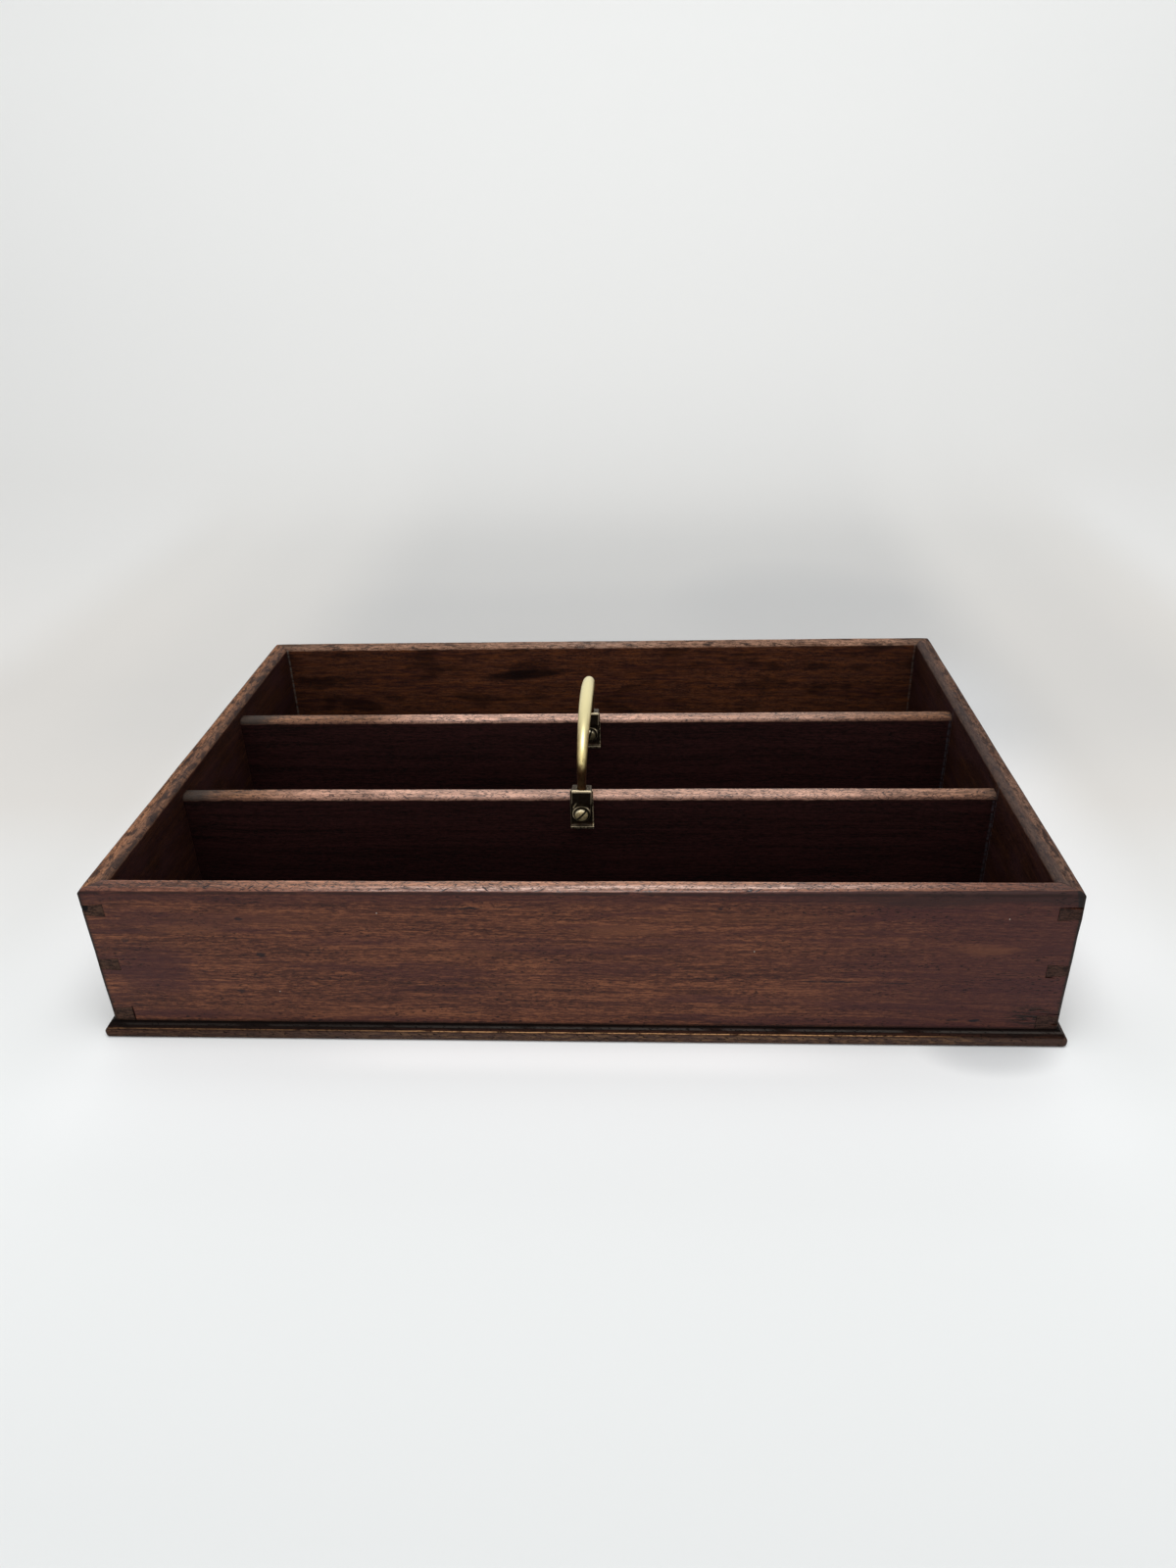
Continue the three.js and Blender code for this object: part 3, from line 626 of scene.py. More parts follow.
class CUTLERY_BOX_OT_walls(bpy.types.Operator):
    """Make the four dovetailed walls with their worn rims"""

    bl_idname = "cutlery_box.walls"
    bl_label = "Walls"

    def execute(self, context):
        sizes = in_mm(context.scene.cutlery_box_case)
        colours = context.scene.cutlery_box_finish
        across = sizes.rim_radius * math.pi + WALL - 2 * sizes.rim_radius
        long_walls = (("front", -1, 11, 26, FRONT_RIM_MARKS), ("back", 1, 23, 22, ()))
        for name, side, seed, dents, marks in long_walls:
            wear = Wear(seed, HALF_LENGTH - 6, across, dents, 0.3, marks)
            wall = self.long_board(name, side, wear, sizes)
            self.complete(wall, name, f"{name}_board", "case_wood", sizes, colours)
        for name, side, seed in (("left", -1, 37), ("right", 1, 41)):
            wear = Wear(seed, HALF_DEPTH - 6, across, 18, 0.26)
            wall = self.end_board(name, side, wear, sizes)
            self.complete(wall, name, f"{name}_end_board", "end_wood", sizes, colours)
        return {"FINISHED"}

    @staticmethod
    def long_board(name, side, wear, sizes):
        """The front or the back wall, cut for the pins and the mitres."""

        def along_x(s, u, z):
            return (s, side * (HALF_DEPTH - u), z)

        def corner(s):
            return 2 * math.copysign(1, s) + side

        wall = wall_board(f"{name}_wall", HALF_LENGTH, wear, along_x, corner, sizes)
        pins = pin_outlines(sizes, sizes.joint_gap, sizes.joint_gap)
        for side_x in (-1, 1):
            combine(wall, corner_prisms("pins", pins, side_x, side))
            combine(wall, mitre_tool(sizes, side_x, side, -sizes.joint_gap / 2))
        return wall

    @staticmethod
    def end_board(name, side, wear, sizes):
        """The left or the right wall, with its pins, its mitres and the housings for the dividers."""

        def along_y(s, u, z):
            return (side * (HALF_LENGTH - u), s, z)

        def corner(s):
            return 2 * side + math.copysign(1, s)

        wall = wall_board(f"{name}_wall", HALF_DEPTH - END_GRAIN_DROP, wear, along_y, corner, sizes)
        for side_y in (-1, 1):
            inner = side_y * (HALF_DEPTH - WALL - sizes.joint_gap)
            waste = block(
                "waste",
                (side * (HALF_LENGTH + OVERRUN), inner, FLOOR - OVERRUN),
                (side * (HALF_LENGTH - WALL - OVERRUN), side_y * (HALF_DEPTH + OVERRUN), RIM + OVERRUN),
            )
            combine(waste, corner_prisms("pins", pin_outlines(sizes, 0, OVERRUN), side, side_y))
            combine(waste, mitre_tool(sizes, side, side_y, sizes.joint_gap / 2))
            combine(wall, waste)
        for face in DIVIDER_FACES.values():
            combine(wall, housing(sizes, side, face))
        return wall

    @staticmethod
    def complete(wall, name, node, slot, sizes, colours):
        """Chips a wall's joints, bores it for the base screws and settles it."""
        for side_x, deep, outline in joint_damage(sizes)[name]:
            combine(wall, corner_prisms("chip", [outline], side_x, -1, deep))
        with_screw_holes(wall)
        settle(wall, "case", node, wall_wood(f"{name}_mahogany", colours, name))


class CUTLERY_BOX_OT_dividers(bpy.types.Operator):
    """Make the two dividers with their worn tops"""

    bl_idname = "cutlery_box.dividers"
    bl_label = "Dividers"

    def execute(self, context):
        sizes = in_mm(context.scene.cutlery_box_case)
        handle = in_mm(context.scene.cutlery_box_handle)
        colours = context.scene.cutlery_box_finish
        height = DIVIDER_TOP - FLOOR
        across = sizes.divider_radius * math.pi + DIVIDER_WALL - 2 * sizes.divider_radius
        profile = board_profile(DIVIDER_WALL, height, sizes.divider_radius, 6, 8, 4)
        for (side, face), seed in zip(DIVIDER_FACES.items(), (53, 67)):
            wear = Wear(seed, DIVIDER_HALF - 8, across, 24, 0.24)
            rings = []
            for s in wear.stations(DIVIDER_HALF):
                ring = []
                for u, v, nu, nv, q in profile:
                    gone = wear.depth(s, q)
                    ring.append((s, face + u - nu * gone, FLOOR + v - nv * gone))
                rings.append(ring)
            divider = loft(f"{side}_partition", rings)
            bore, deep = handle.shank_radius + PIVOT_HOLE_ROOM, face + PIVOT_DEPTH + PIVOT_HOLE_ROOM
            combine(divider, rod("hole", bore, "y", face - OVERRUN, deep, 32, (PIVOT.x, PIVOT.z)))
            material = divider_wood(f"{side}_divider_wood", colours, face, seed)
            settle(divider, "case", f"{side}_divider", material)
        return {"FINISHED"}


class CUTLERY_BOX_OT_base_board(bpy.types.Operator):
    """Make the base board with its thumbnail moulding"""

    bl_idname = "cutlery_box.base_board"
    bl_label = "Base Board"

    def execute(self, context):
        sizes = in_mm(context.scene.cutlery_box_case)
        rings = []
        for inset, height in self.moulding(sizes):
            radius = max(sizes.base_corner_radius - inset, 0.25)
            ring = []
            for point, normal in self.outline(BASE_HIGH.x - inset, BASE_HIGH.y - inset, radius):
                nose = 1 - smooth(sizes.nose_height - 0.2, sizes.nose_height + 1.4, height)
                along = point.x + 3 * point.y
                wave = 0.05 + 0.05 * noise.noise((along / 45, height / 3, 5.0))
                chip = max(0.0, noise.noise((along / 4.5, height / 2.2, 9.0)) - 0.42) * 0.9
                gone = (wave + chip * smooth(0.3, 1.2, height)) * (0.35 + 0.65 * nose)
                if height >= FLOOR:
                    gone = 0
                ring.append((point.x - normal.x * gone, point.y - normal.y * gone, height))
            rings.append(ring)
        base = with_screw_holes(loft("moulded_base", rings))
        material = base_wood("base_wood", context.scene.cutlery_box_finish)
        settle(base, "case", "base_board", material)
        return {"FINISHED"}

    @staticmethod
    def moulding(sizes):
        """(inset, height) points from the underside up to the foot of the wall."""
        radius, upper = sizes.nose_radius, sizes.nose_height - sizes.nose_radius
        arc = [math.pi / 2 * i / 8 for i in range(9)]
        points = [(radius * (1 - math.sin(a)), radius * (1 - math.cos(a))) for a in arc]
        points += [(radius * (1 - math.cos(a)), upper + radius * math.sin(a)) for a in arc]
        start, foot = (radius, sizes.nose_height + sizes.step_height), (BASE_HIGH.x - HALF_LENGTH, FLOOR)
        bulge = sizes.slope_bulge
        pull = ((start[0] + foot[0]) / 2 - bulge, (start[1] + foot[1]) / 2 + bulge)
        for i in range(9):
            t = i / 8
            ends = zip(start, pull, foot)
            points.append(tuple((1 - t) ** 2 * a + 2 * t * (1 - t) * b + t * t * c for a, b, c in ends))
        return points

    @staticmethod
    def outline(half_x, half_y, radius, turns=8, spacing=3.0):
        """Points and outward normals round a rounded rectangle, with as many whatever its size."""
        found = []
        corners = [(1, 1), (-1, 1), (-1, -1), (1, -1)]
        for corner, (side_x, side_y) in enumerate(corners):
            middle = Vector((side_x * (half_x - radius), side_y * (half_y - radius)))
            for i in range(turns + 1):
                a = (corner + i / turns) * math.pi / 2
                normal = Vector((math.cos(a), math.sin(a)))
                found.append((middle + radius * normal, normal))
            next_x, next_y = corners[(corner + 1) % 4]
            last, normal = found[-1]
            target = Vector((next_x * (half_x - radius), next_y * (half_y - radius))) + radius * normal
            steps = round((2 * BASE_HIGH.x if corner % 2 == 0 else 2 * BASE_HIGH.y) / spacing)
            found += [(last.lerp(target, i / steps), normal) for i in range(1, steps)]
        return found


class CUTLERY_BOX_OT_base_screws(bpy.types.Operator):
    """Make the screws that are sunk in the base board's underside"""

    bl_idname = "cutlery_box.base_screws"
    bl_label = "Base Screws"

    def execute(self, context):
        material = sunk_iron("sunk_iron", context.scene.cutlery_box_finish)
        half = IRON_SLOT_WIDTH / 2
        for i, (x, y, low, high, radius) in enumerate(screw_places()):
            screw = turned(f"sunk_screw_{i + 1}", screw_profile(low, high, radius), 56)
            slot = block("slot", (-radius - 1, -half, low - 1), (radius + 1, half, low + IRON_SLOT_DEPTH))
            slot.data.transform(Matrix.Rotation(math.radians(40 * i), 4, "Z"))
            combine(screw, slot)
            settle(screw, "case", SCREW_NODES[i], material, Matrix.Translation((x, y, 0)), 30)
        return {"FINISHED"}


# Handle and its fittings, round the pivot


def fitting_place(face):
    """From the pivot on a divider's face to the box's own place."""
    return Matrix.Translation((PIVOT.x, face, PIVOT.z))


def handle_place(handle, face=0.0):
    """The same for what swings, leaning as it does at rest."""
    return fitting_place(face) @ Matrix.Rotation(handle.lean, 4, "Y")


class CUTLERY_BOX_OT_pivot_plates(bpy.types.Operator):
    """Make the brass plates on the dividers' front faces"""

    bl_idname = "cutlery_box.pivot_plates"
    bl_label = "Pivot Plates"

    def execute(self, context):
        handle = in_mm(context.scene.cutlery_box_handle)
        half, lip_front = handle.plate_width / 2, -handle.plate_thickness - handle.lip_depth
        lip_top = handle.lip_height - handle.plate_below
        for side, face in DIVIDER_FACES.items():
            outline = [(-half, -handle.plate_below), (half, -handle.plate_below)]
            for turn, middle in ((0, half - PLATE_CORNER), (1, PLATE_CORNER - half)):
                for i in range(7):
                    a = math.pi / 2 * (turn + i / 6)
                    up = handle.plate_above - PLATE_CORNER + PLATE_CORNER * math.sin(a)
                    outline.append((middle + PLATE_CORNER * math.cos(a), up))
            plate = prisms(f"{side}_brass_plate", [outline], "y", lip_front, 0)
            above, below = handle.plate_above + OVERRUN, -handle.plate_below - OVERRUN
            front = -handle.plate_thickness
            sidelong = [(0, below), (0, above), (front, above)]
            sidelong += [(front, lip_top), (lip_front, lip_top), (lip_front, below)]
            combine(plate, prisms("side", [sidelong], "x", -half - 1, half + 1), "INTERSECT")
            combine(plate, rod("hole", handle.shank_radius + PIVOT_HOLE_ROOM, "y", -5, OVERRUN, 48))
            soften(plate, 6)
            # rubbed gives where the plate's painted highlights go
            colours, rubbed = context.scene.cutlery_box_finish, plate_edges(handle)
            material = old_brass(f"{side}_plate_brass", colours, 3.0, rubbed)
            settle(plate, "case", f"{side}_pivot_plate", material, fitting_place(face), 60)
        return {"FINISHED"}


class CUTLERY_BOX_OT_knuckles(bpy.types.Operator):
    """Make the cast knuckles that hold the bail's ends"""

    bl_idname = "cutlery_box.knuckles"
    bl_label = "Knuckles"

    def execute(self, context):
        handle = in_mm(context.scene.cutlery_box_handle)
        back = handle.plate_thickness + handle.running_gap
        front, eye_front = back + handle.block_depth, back + handle.eye_thickness
        neck_face, standoff = eye_front - handle.eye_proud, back + handle.block_depth / 2
        top, bottom, bevel = handle.block_top, handle.block_bottom, KNUCKLE_BEVEL
        half = handle.block_width / 2
        right = [(handle.neck_width / 2, 0), (half, bottom), (half, top - bevel), (half - bevel, top)]
        facing = [(-right[0][0], 0), *right, *((-u, v) for u, v in right[:0:-1])]
        sidelong = [(-back, -OVERRUN), (-back, top + OVERRUN), (-front, top + OVERRUN), (-front, bottom)]
        sidelong += [(-neck_face, handle.neck_break), (-neck_face, -OVERRUN)]
        for side, face in DIVIDER_FACES.items():
            knuckle = prisms(f"{side}_brass_knuckle", [facing], "y", -front - 2, 0)
            combine(knuckle, prisms("side", [sidelong], "x", -half - 1, half + 1), "INTERSECT")
            combine(knuckle, rod("eye", handle.eye_radius, "y", -eye_front, -back, 96), "UNION")
            combine(knuckle, rod("hole", handle.shank_radius + PIVOT_HOLE_ROOM, "y", -front, 0, 48))
            radius, floor = handle.leg_radius + handle.socket_gap, top - handle.socket_depth
            combine(knuckle, rod("socket", radius, "z", floor, top + OVERRUN, 64, (0, -standoff)))
            soften(knuckle, 8)
            # rubbed gives where the knuckle's painted highlights go
            colours, rubbed = context.scene.cutlery_box_finish, knuckle_edges(handle, face)
            material = old_brass(f"{side}_knuckle_brass", colours, 8.0, rubbed)
            place = handle_place(handle, face)
            settle(knuckle, "handle", f"{side}_knuckle", material, place, 60)
        return {"FINISHED"}


class CUTLERY_BOX_OT_pivot_screws(bpy.types.Operator):
    """Make the slotted, dome-headed pivot screws"""

    bl_idname = "cutlery_box.pivot_screws"
    bl_label = "Pivot Screws"

    def execute(self, context):
        handle = in_mm(context.scene.cutlery_box_handle)
        seat = 2 * handle.running_gap + handle.plate_thickness + handle.eye_thickness
        shank, radius, crown = handle.shank_radius, handle.head_radius, seat + handle.head_height
        edge, bevel = seat + 0.5, 0.12
        profile = [(0, -PIVOT_DEPTH), (shank, shank - PIVOT_DEPTH), (shank, seat)]
        profile += [(radius - bevel, seat), (radius, seat + bevel)]
        for i in range(14):
            a = math.pi / 2 * i / 14
            profile.append((radius * math.cos(a), edge + (crown - edge) * math.sin(a)))
        profile.append((0, crown))
        half = handle.slot_width / 2
        for side, face in DIVIDER_FACES.items():
            screw = turned(f"{side}_slotted_pivot", profile, 96)
            low = crown - handle.slot_depth
            slot = block("slot", (-radius - 1, -half, low), (radius + 1, half, crown + 1))
            # The rear screw's smaller worn value darkens it as painted shade
            turn, worn = (math.radians(45), 1.0) if side == "front" else (math.radians(72), 0.25)
            slot.data.transform(Matrix.Rotation(turn, 4, "Z"))
            combine(screw, slot)
            eased = screw.modifiers.new("Bevel", "BEVEL")
            eased.width = 0.07
            eased.segments = 2
            eased.limit_method = "ANGLE"
            eased.angle_limit = math.radians(40)
            bake(screw)
            place = fitting_place(face) @ Matrix.Rotation(math.pi / 2, 4, "X")
            material = screw_brass(f"{side}_screw_brass", turn, worn)
            settle(screw, "case", f"{side}_pivot_screw", material, place, 40)
        return {"FINISHED"}


class CUTLERY_BOX_OT_bail(bpy.types.Operator):
    """Make the brass bail, thickest at the grip"""

    bl_idname = "cutlery_box.bail"
    bl_label = "Bail"

    def execute(self, context):
        handle = in_mm(context.scene.cutlery_box_handle)
        line = self.line(handle)
        run = [0.0]
        for here, after in zip(line, line[1:]):
            run.append(run[-1] + (after - here).length)
        share = (handle.socket_depth - BAIL_END_ROOM) / run[-1]
        growth = handle.grip_radius - handle.leg_radius
        across = Vector((1, 0, 0))
        rings = []
        for i, centre in enumerate(line):
            tangent = (line[min(i + 1, len(line) - 1)] - line[max(i - 1, 0)]).normalized()
            normal = tangent.cross(across)
            near = min(run[i], run[-1] - run[i]) / run[-1]
            swell = max(0.0, (near - share) / (0.5 - share))
            radius = handle.leg_radius + growth * math.sin(math.pi / 2 * swell) ** 1.3
            ring = []
            for k in range(56):
                a = 2 * math.pi * k / 56
                rub = 0.035 + 0.03 * noise.noise((run[i] / 9, math.cos(a), math.sin(a)))
                ring.append(centre + (radius - rub) * (across * math.cos(a) + normal * math.sin(a)))
            rings.append(ring)
        material = polished_brass("bail_brass", context.scene.cutlery_box_finish)
        bail = loft("brass_bail", rings)
        settle(bail, "handle", "handle_bail", material, handle_place(handle), 50)
        return {"FINISHED"}

    @staticmethod
    def line(handle):
        """The bail's centre line from the front socket over the grip to the rear one."""
        front, rear = DIVIDER_FACES.values()
        half = (rear - front) / 2
        standoff = handle.plate_thickness + handle.running_gap + handle.block_depth / 2
        middle = (rear + front) / 2 - standoff
        foot = handle.block_top - handle.socket_depth + BAIL_END_ROOM
        legs = [foot + (handle.leg_height - foot) * i / 16 for i in range(16)]
        points = [Vector((0, middle - half, z)) for z in legs]
        power = 2 / handle.squareness
        for i in range(121):
            a = math.pi * i / 120
            side = math.copysign(abs(math.cos(a)) ** power, math.cos(a))
            rise = max(math.sin(a), 0.0) ** power
            points.append(Vector((0, middle - half * side, handle.leg_height + handle.arch_rise * rise)))
        return points + [Vector((0, middle + half, z)) for z in reversed(legs)]


# Materials


def operator_for(operation, reflected=False):
    """A Signal's method for one of Python's operators."""

    def method(signal, other):
        values = (other, signal) if reflected else (signal, other)
        return signal.paint.maths(operation, *values)

    return method


class Signal:
    """A socket's value in a material, for sums written as Python expressions."""

    __add__ = __radd__ = operator_for("ADD")
    __sub__ = operator_for("SUBTRACT")
    __rsub__ = operator_for("SUBTRACT", reflected=True)
    __mul__ = __rmul__ = operator_for("MULTIPLY")
    __truediv__ = operator_for("DIVIDE")
    __rtruediv__ = operator_for("DIVIDE", reflected=True)
    __pow__ = operator_for("POWER")

    def __init__(self, paint, socket):
        self.paint = paint
        self.socket = socket

    def __neg__(self):
        return self * -1

    def __abs__(self):
        return self.paint.maths("ABSOLUTE", self)

    def at_least(self, other):
        return self.paint.maths("MAXIMUM", self, other)

    def at_most(self, other):
        return self.paint.maths("MINIMUM", self, other)

    def between(self, low, high):
        """0 at low, 1 at high and smooth between them, whichever of the two is the greater."""
        ends = {1: low, 2: high, 3: 0.0, 4: 1.0} if low < high else {1: high, 2: low, 3: 1.0, 4: 0.0}
        settings = {"interpolation_type": "SMOOTHSTEP", "clamp": True}
        return self.paint.add("ShaderNodeMapRange", settings, {0: self, **ends})

    def within(self, rise, full, fading, gone):
        """1 from full to fading, and 0 below rise and above gone."""
        return self.between(rise, full) * self.between(gone, fading)


class Paint:
    """One material's nodes, and the colour that its coats have built up so far."""

    def __init__(self, name):
        self.material = bpy.data.materials.new(name)
        self.material.use_nodes = True
        self.tree = self.material.node_tree
        self.tree.nodes.clear()
        self.colour = None

    def add(self, kind, settings=None, inputs=None, output=0):
        """A node of that kind, its settings first, then the values or links of its sockets."""
        node = self.tree.nodes.new(kind)
        for key, value in (settings or {}).items():
            if key == "stops":
                for i, (at, tint) in enumerate(value):
                    stop = node.color_ramp.elements[i] if i < 2 else node.color_ramp.elements.new(at)
                    stop.position = at
                    stop.color = tint
            else:
                setattr(node, key, value)
        for key, value in (inputs or {}).items():
            if isinstance(value, Signal):
                self.tree.links.new(value.socket, node.inputs[key])
            else:
                node.inputs[key].default_value = value
        return Signal(self, node.outputs[output])

    def maths(self, operation, *values):
        """One sum of numbers or signals."""
        return self.add("ShaderNodeMath", {"operation": operation}, dict(enumerate(values)))

    def split(self, output):
        """The three numbers of one of the texture coordinates."""
        at = self.add("ShaderNodeTexCoord", output=output)
        return [self.add("ShaderNodeSeparateXYZ", None, {0: at}, i) for i in range(3)]

    def place(self):
        """The point on the model, as x, y and z in millimetres."""
        return [number * (1 / MM) for number in self.split("Object")]

    def noise(self, x, y, z, detail=2.0, roughness=0.5):
        """Cloudy noise around 0.5, at a point that may be stretched."""
        at = self.add("ShaderNodeCombineXYZ", None, {0: x, 1: y, 2: z})
        inputs = {"Vector": at, "Scale": 1.0, "Detail": detail, "Roughness": roughness}
        return self.add("ShaderNodeTexNoise", None, inputs)

    def mix(self, amount, first, second):
        """The first colour at 0 and the second at 1."""
        settings = {"data_type": "RGBA", "blend_type": "MIX", "clamp_factor": True}
        return self.add("ShaderNodeMix", settings, {0: amount, 6: opaque(first), 7: opaque(second)}, 2)

    def ramp(self, value, *stops):
        """A colour looked up by a value among (place, colour) stops."""
        stops = [(at, opaque(tint)) for at, tint in stops]
        return self.add("ShaderNodeValToRGB", {"stops": stops}, {0: value})

    def coat(self, amount, tint):
        """Lays a colour over what is there, by that amount."""
        self.colour = self.mix(amount, self.colour, tint)

    def spot(self, u, v, at, size, edge=0.0):
        """1 inside an oval at a point, falling to 0 at its rim."""
        du, dv = (u - at[0]) / size[0], (v - at[1]) / size[1]
        return (du * du + dv * dv).between(1.0, edge)

    def stroke(self, u, v, at, size, slant):
        """1 along a short line through a point, fading at its ends."""
        du, dv = u - at[0], v - at[1]
        run = (du * math.cos(slant) + dv * math.sin(slant)) / size[0]
        side = (dv * math.cos(slant) - du * math.sin(slant)) / size[1]
        return (run * run + side * side).between(1.0, 0.3)

    def surface(self, roughness, height, depth, **fixed):
        """The finished material, with the numbers that are the same all over it set on the shader."""
        strength = bpy.context.scene.cutlery_box_finish.grain_depth
        bump = {"Strength": strength, "Distance": depth * MM, "Height": height}
        inputs = {"Base Color": self.colour, "Roughness": roughness}
        inputs["Normal"] = self.add("ShaderNodeBump", None, bump)
        inputs.update({key.replace("_", " "): value for key, value in fixed.items()})
        shader = self.add("ShaderNodeBsdfPrincipled", None, inputs)
        output = self.tree.nodes.new("ShaderNodeOutputMaterial")
        self.tree.links.new(shader.socket, output.inputs["Surface"])
        return self.material


def opaque(tint):
    """A colour of three or four numbers as one with full alpha. A signal is left as it is."""
    return tint if isinstance(tint, Signal) else (*tint[:3], 1.0)


def shade(tint, scale):
    """A colour made darker or lighter."""
    return tuple(channel * scale for channel in tint[:3])


def figure(paint, along, across, up, heart, seed):
    """Mahogany of a board cut off that heart: its tone, its bright streaks, its grit and its open pores."""
    sway = (paint.noise(along / 95, across / 50, up / 40 + seed, 2) - 0.5) * 8
    deep, high = across - heart[0], up + sway + along * 0.01 - heart[1]
    ring = (deep * deep + high * high) ** 0.5
    bands = paint.noise(ring / 3.4, along / 130, seed, 4, 0.62)
    streaks = paint.noise(ring / 0.62, along / 24, seed + 3.7, 3, 0.65)
    glow = paint.noise(ring / 1.3, along / 38, seed + 9.1, 3).between(0.56, 0.72)
    grit = paint.noise(along / 3.6, across / 0.8, up / 0.72 + seed, 3, 0.8)
    crowd = paint.noise(along / 30, across / 20, up / 7 + seed, 3).between(0.4, 0.62)
    pores = paint.noise(along / 2.4, across / 0.5, up / 0.5 + seed * 3, 1.0).between(0.575, 0.66)
    tone = (bands - 0.5) * 1.1 + (streaks - 0.5) * 1.3 + (grit - 0.5) * 2.1 + 0.5
    return tone, glow, grit, pores * (crowd * 0.75 + 0.25)


def rubbed_wood(paint, tone, grit, worn, pale):
    """Wood that hands have worn, paler on its ridges, with dirt left in its hollows."""
    wood = paint.ramp(tone, (0.1, shade(worn, 0.28)), (0.45, shade(worn, 0.95)), (0.85, shade(worn, 1.6)))
    return paint.mix(grit.between(0.5, 0.7) * 0.55, wood, pale)


def nicks(paint, u, v, seed, least, most):
    """Short dark marks that lie two ways over a surface."""
    marks = None
    for turn, stretch in ((0.8, 0.45), (-0.5, 0.4)):
        run = (u * math.cos(turn) + v * math.sin(turn)) * stretch
        side = (v * math.cos(turn) - u * math.sin(turn)) * 1.7
        found = paint.noise(run, side, seed + turn, 1.0).between(least, most)
        marks = marks.at_least(found) if marks else found
    return marks


def glue_line(paint, ways, z, places, seed):
    """Thin broken lines of old glue that stand just short of those places, measured each of those ways."""
    lines = None
    for way in ways:
        for place in places:
            bend = (paint.noise(z / 9, seed, place, 2) - 0.5) * 0.6
            line = abs(way - place + 0.7 + bend).between(0.75, 0.3)
            lines = lines.at_least(line) if lines else line
    broken = paint.noise(z / 2.2, seed + 3, 0.0, 3).between(0.38, 0.58)
    return lines * (broken * 0.9 + 0.1)


def rim_run(inset, z):
    """Distance over a wall's top from the foot of its outer rounding, as the wear's marks are placed."""
    up = (z - (RIM - RIM_RADIUS)).at_least(0.0)
    flat = (inset - RIM_RADIUS).at_least(0.0)
    return (inset + up) * (math.pi / 4) + flat * (1 - math.pi / 4)


# How the walls differ: the seed of each one's figure, the colour of its rubbed rim, how its rim's blots
# gather towards its inner edge, and how far in and how dark the end walls' rims are stained.
WALL_SEEDS = {"front": 2.0, "back": 9.0, "left": 15.0, "right": 21.0}
RUBBED_RIMS = {"back": (0.255, 0.142, 0.094), "left": (0.235, 0.113, 0.062), "right": (0.122, 0.069, 0.047)}
BLOT_LEANS = {"back": -0.03, "left": 0.05, "right": -0.01}
RIM_STAIN_REACH = 4.6
RIM_STAINS = {"left": 0.45, "right": 0.65}

# Bruises on the front wall's outer face: along, height, half length, half height, strength.
FRONT_BRUISES = [
    (-135.2, 60.5, 2.2, 1.3, 0.75),
    (-185.0, 49.3, 2.0, 1.4, 0.6),
    (-128.6, 42.4, 2.6, 1.6, 0.8),
    (-140.4, 23.2, 2.2, 1.5, 0.65),
    (-104.0, 44.5, 0.7, 2.2, 0.6),
    (-41.0, 66.2, 8.5, 0.5, 1.0),
    (-52.0, 65.9, 5.5, 0.35, 0.8),
    (-24.0, 66.9, 9.0, 0.3, 0.8),
    (108.0, 30.4, 12.0, 0.5, 0.9),
    (96.0, 30.6, 5.0, 0.45, 0.8),
    (133.0, 29.8, 10.0, 0.35, 0.7),
    (165.4, 10.6, 3.0, 1.1, 0.95),
    (157.0, 10.9, 4.0, 0.6, 0.7),
    (-44.0, 12.6, 4.0, 0.45, 0.8),
    (60.0, 66.2, 1.6, 1.0, 0.75),
    (-62.0, 62.0, 4.0, 0.4, 0.6),
]
# Tiny pale chips on that face, and its golden (above 0) and plum (below 0) zones, placed as the bruises are.
FRONT_SPECKS = [(-77.8, 63.6), (-124.1, 23.0), (172.1, 62.0), (73.9, 45.5)]
FRONT_ZONES = [
    (-157.0, 55.0, 22.0, 3.4, 0.7),
    (-120.0, 60.0, 60.0, 6.0, 0.35),
    (20.0, 55.5, 26.0, 3.0, 0.8),
    (-41.0, 43.0, 22.0, 2.6, 0.6),
    (-20.0, 26.5, 30.0, 2.2, 0.6),
    (165.0, 47.0, 18.0, 3.4, 0.7),
    (60.0, 62.0, 60.0, 3.0, 0.4),
    (-100.0, 12.0, 90.0, 4.0, 0.3),
    (43.0, 50.2, 44.0, 1.8, -0.85),
    (16.0, 36.5, 34.0, 4.5, -0.7),
    (-80.0, 50.0, 38.0, 3.6, -0.65),
    (106.0, 51.0, 30.0, 2.4, -0.7),
    (-176.0, 34.0, 24.0, 17.0, -1.1),
    (-178.0, 63.0, 20.0, 3.0, -0.8),
    (140.0, 27.0, 45.0, 4.0, -0.5),
    (120.0, 40.0, 60.0, 5.0, -0.4),
]


